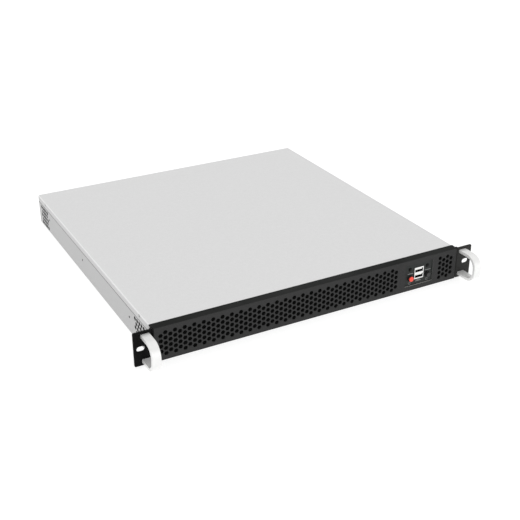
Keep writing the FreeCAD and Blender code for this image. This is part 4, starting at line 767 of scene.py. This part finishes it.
@dataclass(frozen=True)
class ScrewKind:
    """A cross-recessed screw, head's face at its origin and shank down, in millimetres."""

    head: float
    shank: float
    head_height: float
    length: float
    countersunk: bool = True
    recess_width: float = 0.7
    recess_depth: float = 0.9
    recess_reach: float = 1.25
    finish: Finish = SCREW
    slot: str = "plated_screw"
    sizes: ClassVar[tuple[str, ...]] = (
        "Head Radius", "Shank Radius", "Head Height", "Length", "Recess Width", "Recess Depth")

    def graph(self) -> GeometryGraph:
        """Build the tree that puts such a screw on every point."""
        graph = GeometryGraph("countersunk_screws" if self.countersunk else "pan_screws")
        head, shank, height, length, width, depth = map(graph.input, self.sizes)
        turn = graph.input("Rotation", "Vector")
        seed = graph.input("Seed", "Int")
        cone = graph.add("GeometryNodeMeshCone", {
            "Vertices": 32, "Radius Top": head, "Depth": height,
            "Radius Bottom": shank if self.countersunk else head})
        cap = graph.dropped(cone.outputs["Mesh"], height)
        run = graph.math("SUBTRACT", length, height)
        rod = graph.add("GeometryNodeMeshCylinder", {"Vertices": 24, "Radius": shank, "Depth": run})
        rod = graph.dropped(rod.outputs["Mesh"], graph.joined(height, run, 0.5))
        reach = graph.math("MULTIPLY", head, self.recess_reach)
        tall = graph.math("MULTIPLY", depth, 2.0)
        bars = [graph.add("GeometryNodeMeshCube", {"Size": graph.vector(*sides, tall)}).outputs[0]
                for sides in ((reach, width), (width, reach))]
        cut = graph.add("GeometryNodeMeshBoolean", {"Mesh 1": cap, "Mesh 2": bars},
                        operation="DIFFERENCE")
        whole = graph.add("GeometryNodeJoinGeometry", {"Geometry": [cut.outputs[0], rod]})
        spread = graph.on_points(graph.entry.outputs[0], whole.outputs[0], Rotation=turn)
        spin = graph.add("FunctionNodeRandomValue", {
            "Min": (0.0, 0.0, 0.0), "Max": (0.0, 0.0, math.pi / 2), "Seed": seed},
            data_type="FLOAT_VECTOR")
        turned = graph.add("GeometryNodeRotateInstances", {
            "Instances": spread, "Rotation": spin.outputs["Value"]})
        return graph.finish(turned.outputs[0])

    def row(self, name: str, node: str, places: Iterable[Point], facing: Facing,
            seed: int) -> None:
        """Make a row of screws in a node's place.

        Args:
            name: Name of the piece.
            node: The plain screws.
            places: Centre of each head's face, in metres.
            facing: Way that the heads look.
            seed: Picks how each recess is turned.
        """
        sizes = (self.head, self.shank, self.head_height, self.length, self.recess_width,
                 self.recess_depth)
        keep(bake(name, self.graph(), places, self.finish, {
            **{key: size * MM for key, size in zip(self.sizes, sizes)},
            "Rotation": facing.value, "Seed": seed}), self.slot, node)

    def sides(self, node: str, axis: int, seed: int) -> None:
        """Put two recessed screws in each side of the server.

        Args:
            node: The plain screws.
            axis: Axis along which the two of a side lie apart.
            seed: Picks how each recess is turned.
        """
        low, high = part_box(node)
        inset = self.head * MM
        for side, x, facing in (("left", low.x, Facing.LEFT), ("right", high.x, Facing.RIGHT)):
            places = [middle(node), middle(node)]
            for place, end in zip(places, (low[axis] + inset, high[axis] - inset)):
                place.x, place[axis] = x, end
            self.row(f"{node}_{side}", node, places, facing, seed)

    def rear(self, name: str, node: str, seed: int) -> None:
        """Put in recessed screws that look to the rear.

        Args:
            name: Name of the piece.
            node: The plain screws: one, or four at the corners of their box.
            seed: Picks how each recess is turned.
        """
        low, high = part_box(node)
        inset = self.head * MM
        single = high.x - low.x < 2.5 * inset
        across, levels = (
            (middle(node)[axis],) if single else (low[axis] + inset, high[axis] - inset)
            for axis in (0, 2))
        self.row(name, node, [(x, high.y, z) for x in across for z in levels], Facing.REAR, seed)


@dataclass(frozen=True)
class BlockRow:
    """Small blocks side by side, such as spring contacts or chips, in millimetres."""

    count: int
    step: Point
    size: Point

    def graph(self) -> GeometryGraph:
        """Build the tree: a line of blocks from each start point."""
        graph = GeometryGraph("block_rows")
        count = graph.input("Count", "Int")
        step = graph.input("Step", "Vector")
        size = graph.input("Size", "Vector")
        line = graph.add("GeometryNodeMeshLine", {"Count": count, "Offset": step})
        cube = graph.add("GeometryNodeMeshCube", {"Size": size})
        row = graph.on_points(line.outputs[0], cube.outputs["Mesh"])
        return graph.finish(graph.on_points(graph.entry.outputs[0], row))

    def make(self, name: str, centres: Iterable[Point], finish: Finish, slot: str) -> None:
        """Make rows of blocks.

        Args:
            name: Name of the piece.
            centres: Middle of each row, in metres.
            finish: Finish of the blocks.
            slot: Their material slot in the record.
        """
        back = [length * MM * (self.count - 1) / 2 for length in self.step]
        starts = [tuple(a - b for a, b in zip(centre, back)) for centre in centres]
        keep(bake(name, self.graph(), starts, finish, {
            "Count": self.count, "Step": tuple(length * MM for length in self.step),
            "Size": tuple(length * MM for length in self.size)}), slot)


# Sub-assemblies

Coats = dict[Finish, tuple[str, ...]]


class Assembly:
    """Part of the server that dresses its CAD nodes and then adds its detail."""

    coats: ClassVar[Coats] = {}

    def detail(self) -> None:
        """Add the pieces that the CAD nodes don't hold."""
        raise NotImplementedError

    def build(self) -> None:
        """Give every CAD node of the assembly its finish, then add the detail."""
        for finish, nodes in self.coats.items():
            for item in (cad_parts[node] for node in nodes):
                if not item.material_slots:
                    item.data.materials.append(made(finish))
                for slot in item.material_slots:
                    slot.material = made(finish)
        self.detail()
        log.info("built %s", type(self).__name__)


@dataclass
class Shell(Assembly):
    """Folded outer sheets, rack ears, handles and the screws that hold them."""

    coats: ClassVar[Coats] = {
        STEEL: ("top_cover",),
        SHADED_TRAY_STEEL: ("base_tray",),
        FACE_COAT: ("front_bezel",),
        MAT: ("dust_filters",),
        NEAR_EAR_SHADED_COAT: ("rack_ear_left",),
        FAR_EAR_LIT_COAT: ("rack_ear_right",),
        HANDLE: ("handle_left", "handle_right"),
    }
    cover_screw: ScrewKind = ScrewKind(2.8, 1.5, 1.1, 5.0)
    ear_screw: ScrewKind = ScrewKind(3.6, 2.0, 1.1, 5.6, recess_width=0.9,
                                     finish=BLACK_SCREW, slot="black_screw")
    handle_screw: ScrewKind = ScrewKind(2.8, 1.5, 1.1, 9.0)

    def detail(self) -> None:
        """Put in the recessed screws."""
        self.cover_screw.sides("cover_screws", 1, 3)
        self.ear_screw.sides("ear_screws", 2, 5)
        self.handle_screw.rear("handle_screws_recessed", "handle_screws", 7)


@dataclass
class ControlPanel(Assembly):
    """Recessed plate with lamps, buttons, sockets and plain printed marks, in millimetres."""

    coats: ClassVar[Coats] = {
        PANEL_COAT: ("control_bracket",),
        BOARD: ("control_board",),
        WHITE: ("control_header", "usb_tongues"),
        BRASS: ("control_spacers",),
        SCREW: ("control_screws", "led_leads"),
        DARK_BUTTON: ("reset_button",),
        BLACK: ("power_switch", "reset_switch", "led_clips"),
        USB_METAL: ("usb_shell",),
    }
    ink_height: float = 0.04
    bar_length: float = 9.0
    bar_width: float = 0.8
    bar_shift: float = 0.9
    bar_drop: float = 0.4
    ring_radius: float = 1.7
    ring_width: float = 0.35
    ring_drop: float = 7.5
    sign_drop: float = 3.9
    sign_bars: tuple[Span, ...] = ((4.4, 0.0), (2.6, 1.4))
    lens_steps: int = 7
    lens_dome: float = 0.8
    cap_radius: float = 3.4
    cap_depth: float = 1.5
    cap_crown: tuple[Span, ...] = (
        (0.0, 0.15), (0.6, 0.1), (0.86, -0.05), (0.96, -0.25), (1.0, -0.55))
    barrel_radius: float = 3.0
    barrel_steps: tuple[Span, ...] = (
        (3.0, -9.5), (4.8, -9.5), (4.8, -10.5), (1.7, -10.5), (1.7, -13.6), (0.0, -13.6))
    contacts: BlockRow = BlockRow(4, (2.3, 0.0, 0.0), (1.0, 8.0, 0.12))
    contact_inset: float = 6.0
    contact_level: float = 0.26
    usb_pitch: float = 8.0

    def lens(self, node: str) -> list[Span]:
        """Give the profile of a smooth domed lens with its flange."""
        low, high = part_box(node)
        radius, depth = (high.x - low.x) / 2 / MM, (high.y - low.y) / MM
        angles = (math.pi / 2 * step / self.lens_steps for step in range(1, self.lens_steps + 1))
        dome = ((radius * math.sin(angle), -radius * (1 - math.cos(angle)) * self.lens_dome)
                for angle in angles)
        return [(0.0, 0.0), *dome, (radius, -depth), (0.0, -depth)]

    def marks(self, work: Work) -> None:
        """Print plain bars and rings on the plate."""
        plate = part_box("control_bracket")[0].y
        left, right = middle("power_button"), middle("reset_button")
        level = (middle("power_led").z + left.z) / 2 - self.bar_drop * MM
        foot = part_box("usb_shell")[0].z - self.sign_drop * MM
        bars = [(centre.x + self.bar_shift * MM, level, self.bar_length / 2)
                for centre in (left, right)]
        bars += [((left.x + right.x) / 2, foot + rise * MM, reach)
                 for reach, rise in self.sign_bars]
        for x, z, reach in bars:
            add_box(work, (x - reach * MM, plate - self.ink_height * MM, z),
                    (x + reach * MM, plate, z + self.bar_width * MM))
        inner = self.ring_radius - self.ring_width
        ring = [(inner, 0.0), (inner, self.ink_height), (self.ring_radius, self.ink_height),
                (self.ring_radius, 0.0), (inner, 0.0)]
        for centre in (left, right):
            add_turned(work, ring, (centre.x, plate, centre.z - self.ring_drop * MM),
                       Facing.FRONT, 24)

    def button(self) -> tuple[list[Span], list[Span]]:
        """Give the profiles of the power button's dark barrel and of the red cap on its front."""
        seat, rim, wide = -self.cap_depth, self.cap_radius, self.barrel_radius
        barrel = [(0.0, seat), (wide - 0.05, seat), (wide, seat - 0.1), *self.barrel_steps]
        cap = [*((rim * share, height) for share, height in self.cap_crown),
               (rim, seat + 0.1), (rim - 0.1, seat), (0.0, seat)]
        return barrel, cap

    def detail(self) -> None:
        """Add the lenses, the button, the marks and the contacts under the tongues."""
        barrel, cap = self.button()
        for node, name, finish, slot, profile, body in (
                ("power_led", "lens", LENS, "smoked_lens", self.lens("power_led"), Body.CHASSIS),
                ("disk_led", "lens", LENS, "smoked_lens", self.lens("disk_led"), Body.CHASSIS),
                ("power_button", "barrel", DARK_BUTTON, "red_plastic", barrel, Body.POWER_BUTTON),
                ("power_button", "cap", RED, "red_plastic", cap, Body.POWER_BUTTON)):
            place = middle(node)
            place.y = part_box(node)[0].y
            keep(mesh_piece(f"{node}_{name}", finish, lambda work: add_turned(
                work, profile, place, Facing.FRONT)), slot, node, body=body)
        keep(mesh_piece("panel_marks", INK, self.marks), "white_plastic")
        centre = middle("usb_shell")
        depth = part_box("usb_shell")[0].y + self.contact_inset * MM
        self.contacts.make("usb_contacts_front", [
            (centre.x, depth, centre.z + (side * self.usb_pitch / 2 + self.contact_level) * MM)
            for side in (-1, 1)], GOLD, "brass_contact")


@dataclass(frozen=True)
class FanGuard:
    """Wire guard over the supply's fan: rings on a cross, in millimetres."""

    wire: float = 0.7
    rings: int = 4
    first: float = 4.0
    pitch: float = 4.4
    bar_sink: float = 1.6
    bar_short: float = 0.75
    stand_off: float = 1.3

    def graph(self) -> GeometryGraph:
        """Build the tree: circles of growing size and two bars, all of one wire."""
        graph = GeometryGraph("fan_guard")
        wire = graph.input("Wire Radius")
        count = graph.input("Rings", "Int")
        first = graph.input("First Radius")
        pitch = graph.input("Pitch")
        line = graph.add("GeometryNodeMeshLine", {"Count": count, "Offset": (0.0, 0.0, 0.0)})
        circle = graph.add("GeometryNodeCurvePrimitiveCircle", {"Resolution": 40, "Radius": 1.0})
        index = graph.add("GeometryNodeInputIndex").outputs[0]
        radius = graph.joined(first, pitch, index)
        rings = graph.on_points(line.outputs[0], circle.outputs["Curve"],
                                Scale=graph.vector(radius, radius, radius))
        curves = [graph.add("GeometryNodeRealizeInstances", {"Geometry": rings}).outputs[0]]
        reach = graph.joined(first, pitch, graph.math("SUBTRACT", count, self.bar_short))
        back = graph.math("MULTIPLY", reach, -1.0)
        behind = graph.math("MULTIPLY", wire, -self.bar_sink)
        for axis in "xy":
            ends = (graph.vector(**{axis: end}, z=behind) for end in (back, reach))
            bar = graph.add("GeometryNodeCurvePrimitiveLine", dict(zip(("Start", "End"), ends)))
            curves.append(bar.outputs["Curve"])
        joined = graph.add("GeometryNodeJoinGeometry", {"Geometry": curves})
        section = graph.add("GeometryNodeCurvePrimitiveCircle", {"Resolution": 8, "Radius": wire})
        solid = graph.add("GeometryNodeCurveToMesh", {
            "Curve": joined.outputs[0], "Profile Curve": section.outputs["Curve"],
            "Fill Caps": True})
        return graph.finish(graph.on_points(graph.entry.outputs[0], solid.outputs[0],
                                            Rotation=Facing.REAR.value))

    def build(self) -> None:
        """Set the guard on the rear wall over the supply's fan."""
        centre = middle("psu_fan_frame")
        place = (centre.x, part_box("base_tray")[1].y + self.wire * MM * self.stand_off, centre.z)
        keep(bake("supply_fan_guard", self.graph(), [place], NICKEL, {
            "Wire Radius": self.wire * MM / 2, "Rings": self.rings,
            "First Radius": self.first * MM, "Pitch": self.pitch * MM}), "plated_screw")


@dataclass(frozen=True)
class PinPort:
    """Pin connector: flange, D-shaped collar, insert with its pins, and two hollow posts."""

    node: str
    coat: Finish
    rows: tuple[int, ...]
    pitch: float
    row_pitch: float
    sockets: bool
    wide: float = 16.9
    narrow: float = 15.0
    height: float = 8.2
    reach: float = 2.0
    wall: float = 0.6
    corner: float = 1.7
    corner_steps: int = 5
    edge: float = 0.3
    seat: float = 0.05
    post_spread: float = 12.4
    post: tuple[Span, ...] = ((0.0, -0.3), (2.6, -0.3), (2.6, 1.7), (2.08, 2.0), (1.4, 2.0),
                              (1.3, 0.5), (0.0, 0.5))
    pin: tuple[Span, ...] = ((0.0, -0.1), (0.5, -0.1), (0.5, 0.9), (0.3, 1.15), (0.0, 1.2))
    rim: tuple[Span, ...] = ((0.35, -0.05), (0.35, 0.08), (0.6, 0.08), (0.6, -0.05),
                             (0.35, -0.05))

    def depth(self, inward: float) -> float:
        """Give the y of a plane that lies some millimetres inside the collar's mouth."""
        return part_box(self.node)[1].y - inward * MM

    def face(self) -> float:
        """Give how far the insert's face lies inside the mouth, in millimetres."""
        return self.edge if self.sockets else self.pin[-1][1] + 0.1

    def outline(self, inset: float, inward: float) -> list[Point]:
        """Give the D outline.

        Args:
            inset: How far it is drawn in, in millimetres.
            inward: How far its plane lies inside the mouth, in millimetres.

        Returns:
            Its points, in metres.
        """
        centre, y = middle(self.node), self.depth(inward)
        top, foot, half = (self.wide / 2 - inset, self.narrow / 2 - inset, self.height / 2 - inset)
        corners = [Vector((-top, half)), Vector((top, half)), Vector((foot, -half)),
                   Vector((-foot, -half))]
        radius = self.corner - inset
        points = []
        for index, corner in enumerate(corners):
            before = (corners[index - 1] - corner).normalized()
            after = (corners[(index + 1) % 4] - corner).normalized()
            half_angle = before.angle(after) / 2
            hub = corner + (before + after).normalized() * radius / math.sin(half_angle)
            first = corner + before * radius / math.tan(half_angle) - hub
            last = corner + after * radius / math.tan(half_angle) - hub
            for step in range(self.corner_steps + 1):
                spoke = first.lerp(last, step / self.corner_steps).normalized() * radius
                points.append((centre.x + (hub.x + spoke.x) * MM, y,
                               centre.z + (hub.y + spoke.y) * MM))
        return points

    def shell(self, work: Work) -> None:
        """Add the flange, the collar and the posts."""
        low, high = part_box(self.node)
        centre, mouth = middle(self.node), self.depth(self.reach)
        add_box(work, low, (high.x, mouth, high.z), self.edge * MM)
        add_loft(work, [self.outline(0.0, self.reach + 0.4), self.outline(0.0, 0.0),
                        self.outline(self.wall, 0.0), self.outline(self.wall, self.reach)])
        for side in (-1, 1):
            add_turned(work, self.post, (centre.x + side * self.post_spread * MM, mouth,
                                         centre.z), Facing.REAR, 6)

    def insert(self, work: Work) -> None:
        """Add the moulded insert."""
        inset = self.wall + self.seat
        add_loft(work, [self.outline(inset, self.reach - self.seat),
                        self.outline(inset, self.face())])

    def pins(self, work: Work) -> None:
        """Add the pins, or the rims of the sockets."""
        centre, face = middle(self.node), self.depth(self.face())
        for row, count in enumerate(self.rows):
            drop = (row - (len(self.rows) - 1) / 2) * self.row_pitch
            for order in range(count):
                shift = (order - (count - 1) / 2) * self.pitch
                add_turned(work, self.rim if self.sockets else self.pin,
                           (centre.x + shift * MM, face, centre.z - drop * MM), Facing.REAR, 12)

    def build(self) -> None:
        """Replace the port's plain block by its shell, its insert and its pins."""
        for name, finish, fill, slot in (
                ("shell", NICKEL, self.shell, "nickel_shell"),
                ("insert", self.coat, self.insert, "black_plastic"),
                ("pins", GOLD, self.pins, "brass_contact")):
            keep(mesh_piece(f"{self.node}_{name}", finish, fill), slot, self.node)


@dataclass
class RearPanel(Assembly):
    """Port shield, sockets, slot cover and supply as they show at the rear."""

    coats: ClassVar[Coats] = {
        REAR_STEEL: ("port_shield", "slot_cover", "psu_case"),
        JACK_METAL: ("network_port_left", "network_port_right"),
        BOARD: ("psu_board",),
        BLACK: ("psu_fan_frame", "psu_fan_rotor", "psu_inlet"),
        NICKEL: ("inlet_blades",),
    }
    guard: FanGuard = FanGuard()
    slot_screw: ScrewKind = ScrewKind(2.8, 1.5, 1.6, 3.7, False)
    supply_screw: ScrewKind = ScrewKind(2.8, 1.5, 1.6, 3.1, False)
    ports: tuple[PinPort, ...] = (
        PinPort("serial_port", BLACK, (5, 4), 2.77, 2.84, False),
        PinPort("display_port", BLUE, (5, 5, 5), 2.29, 1.98, True))
    contacts: BlockRow = BlockRow(8, (1.02, 0.0, 0.0), (0.45, 7.0, 0.3))
    contact_inset: float = 4.6
    contact_drop: float = 2.2

    def detail(self) -> None:
        """Add the screws, the network contacts, the ports and the guard."""
        self.supply_screw.rear("supply_screws_recessed", "psu_screws", 11)
        self.slot_screw.rear("slot_screw_recessed", "slot_screw", 13)
        self.contacts.make("network_contacts", [
            (middle(node).x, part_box(node)[1].y - self.contact_inset * MM,
             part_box(node)[1].z - self.contact_drop * MM)
            for node in ("network_port_left", "network_port_right")], GOLD, "brass_contact")
        for port in self.ports:
            port.build()
        self.guard.build()


@dataclass
class Computer(Assembly):
    """Boards, heatsinks, memory, drives and fans behind the front."""

    coats: ClassVar[Coats] = {
        BOARD: ("motherboard", "memory_modules"),
        BRASS: ("board_standoffs",),
        SCREW: ("board_screws", "heatsink_screws", "fan_screws", "drive_screws"),
        NICKEL: ("cpu_socket",),
        FINS: ("cpu_heatsink", "chipset_heatsink"),
        BLACK: ("memory_slots", "fan_frames", "fan_rotor_1", "fan_rotor_2", "fan_rotor_3",
                "solid_state_drive"),
        WHITE: ("board_headers",),
        SHADED_INNER_STEEL: ("fan_bracket", "drive_bracket"),
        CAST: ("hard_drive",),
    }
    chips: BlockRow = BlockRow(8, (0.0, 15.2, 0.0), (1.0, 9.0, 11.0))
    chip_drop: float = 8.0
    module_sheet: float = 1.2

    def detail(self) -> None:
        """Set a row of chips along each face of the memory modules."""
        low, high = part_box("memory_modules")
        y, z = middle("memory_modules").y, high.z - self.chip_drop * MM
        sheet, half = self.module_sheet * MM, self.chips.size[0] * MM / 2
        self.chips.make("memory_chips", [
            (x, y, z) for left in (low.x, high.x - sheet)
            for x in (left - half, left + sheet + half)], BLACK, "black_plastic")


# Studio

@dataclass(frozen=True)
class SoftBox:
    """A soft rectangular lamp that looks at a target, in metres and watts."""

    name: str
    place: Point
    target: Point
    size: Span
    watts: float

    def hang(self) -> None:
        """Put the lamp into the scene."""
        data = bpy.data.lights.new(self.name, "AREA")
        data.shape = "RECTANGLE"
        data.size, data.size_y = self.size
        data.energy = self.watts
        item = linked(self.name, data)
        item.location = self.place
        item.rotation_mode = "QUATERNION"
        item.rotation_quaternion = (
            Vector(self.target) - Vector(self.place)).to_track_quat("-Z", "Y")


@dataclass
class Studio:
    """Pale floor, soft light and the camera."""

    eye: Point = (-0.536999, -0.860062, 0.560476)
    yaw: float = 0.490295
    pitch: float = 0.462377
    roll: float = -0.006143
    lens_mm: float = 64.576
    sensor_mm: float = 36.0
    sight: float = 50.0
    floor_half: float = 40.0
    floor_gap: float = 0.2 * MM
    paper: Finish = Finish("floor_paper", "b6b6b6", "bababa", (0.9, 0.9), shine=0.0, glow=0.7,
                           clouds=(Pattern(3.0),), band=FULL, depth=0.0)
    sky: float = 0.82
    boxes: tuple[SoftBox, ...] = (
        SoftBox("top_box", (0.1, 0.3, 1.9), (0.0, 0.2, 0.0), (3.0, 3.0), 5.0),
        SoftBox("front_box", (0.7, -2.1, 0.6), (0.1, 0.0, 0.0), (2.4, 1.2), 7.0))

    def camera(self) -> None:
        """Place the camera by its yaw, its pitch down and its roll."""
        data = bpy.data.cameras.new("camera")
        data.lens = self.lens_mm
        data.sensor_width = self.sensor_mm
        data.clip_end = self.sight
        item = linked("camera", data)
        turn = Matrix.Rotation
        item.matrix_world = Matrix.Translation(self.eye) @ turn(-self.yaw, 4, "Z") @ turn(
            math.pi / 2 - self.pitch, 4, "X") @ turn(self.roll, 4, "Z")
        bpy.context.scene.camera = item

    def floor(self) -> None:
        """Lay a pale floor under the server."""
        half, level = self.floor_half, cad_bounds[0].z - self.floor_gap
        mesh = bpy.data.meshes.new("floor")
        mesh.from_pydata([(x * half, y * half, level)
                          for x, y in ((-1, -1), (1, -1), (1, 1), (-1, 1))], [], [(0, 1, 2, 3)])
        mesh.materials.append(made(self.paper))
        linked("floor", mesh)

    def lights(self) -> None:
        """Light the server from all around, from above and from the front."""
        world = bpy.data.worlds.new("sky")
        world.use_nodes = True
        inputs = world.node_tree.nodes["Background"].inputs
        inputs["Color"].default_value = (1.0, 1.0, 1.0, 1.0)
        inputs["Strength"].default_value = self.sky
        bpy.context.scene.world = world
        for box in self.boxes:
            box.hang()

    def build(self) -> None:
        """Set up the studio."""
        self.camera()
        self.floor()
        self.lights()
        bpy.context.scene.view_settings.view_transform = "Standard"


def main() -> None:
    """Build the studio and every sub-assembly in order."""
    logging.basicConfig(level=logging.INFO, format="%(name)s: %(message)s")
    Studio().build()
    for part in (Shell(), ControlPanel(), RearPanel(), Computer()):
        part.build()


if __name__ == "__main__":
    main()
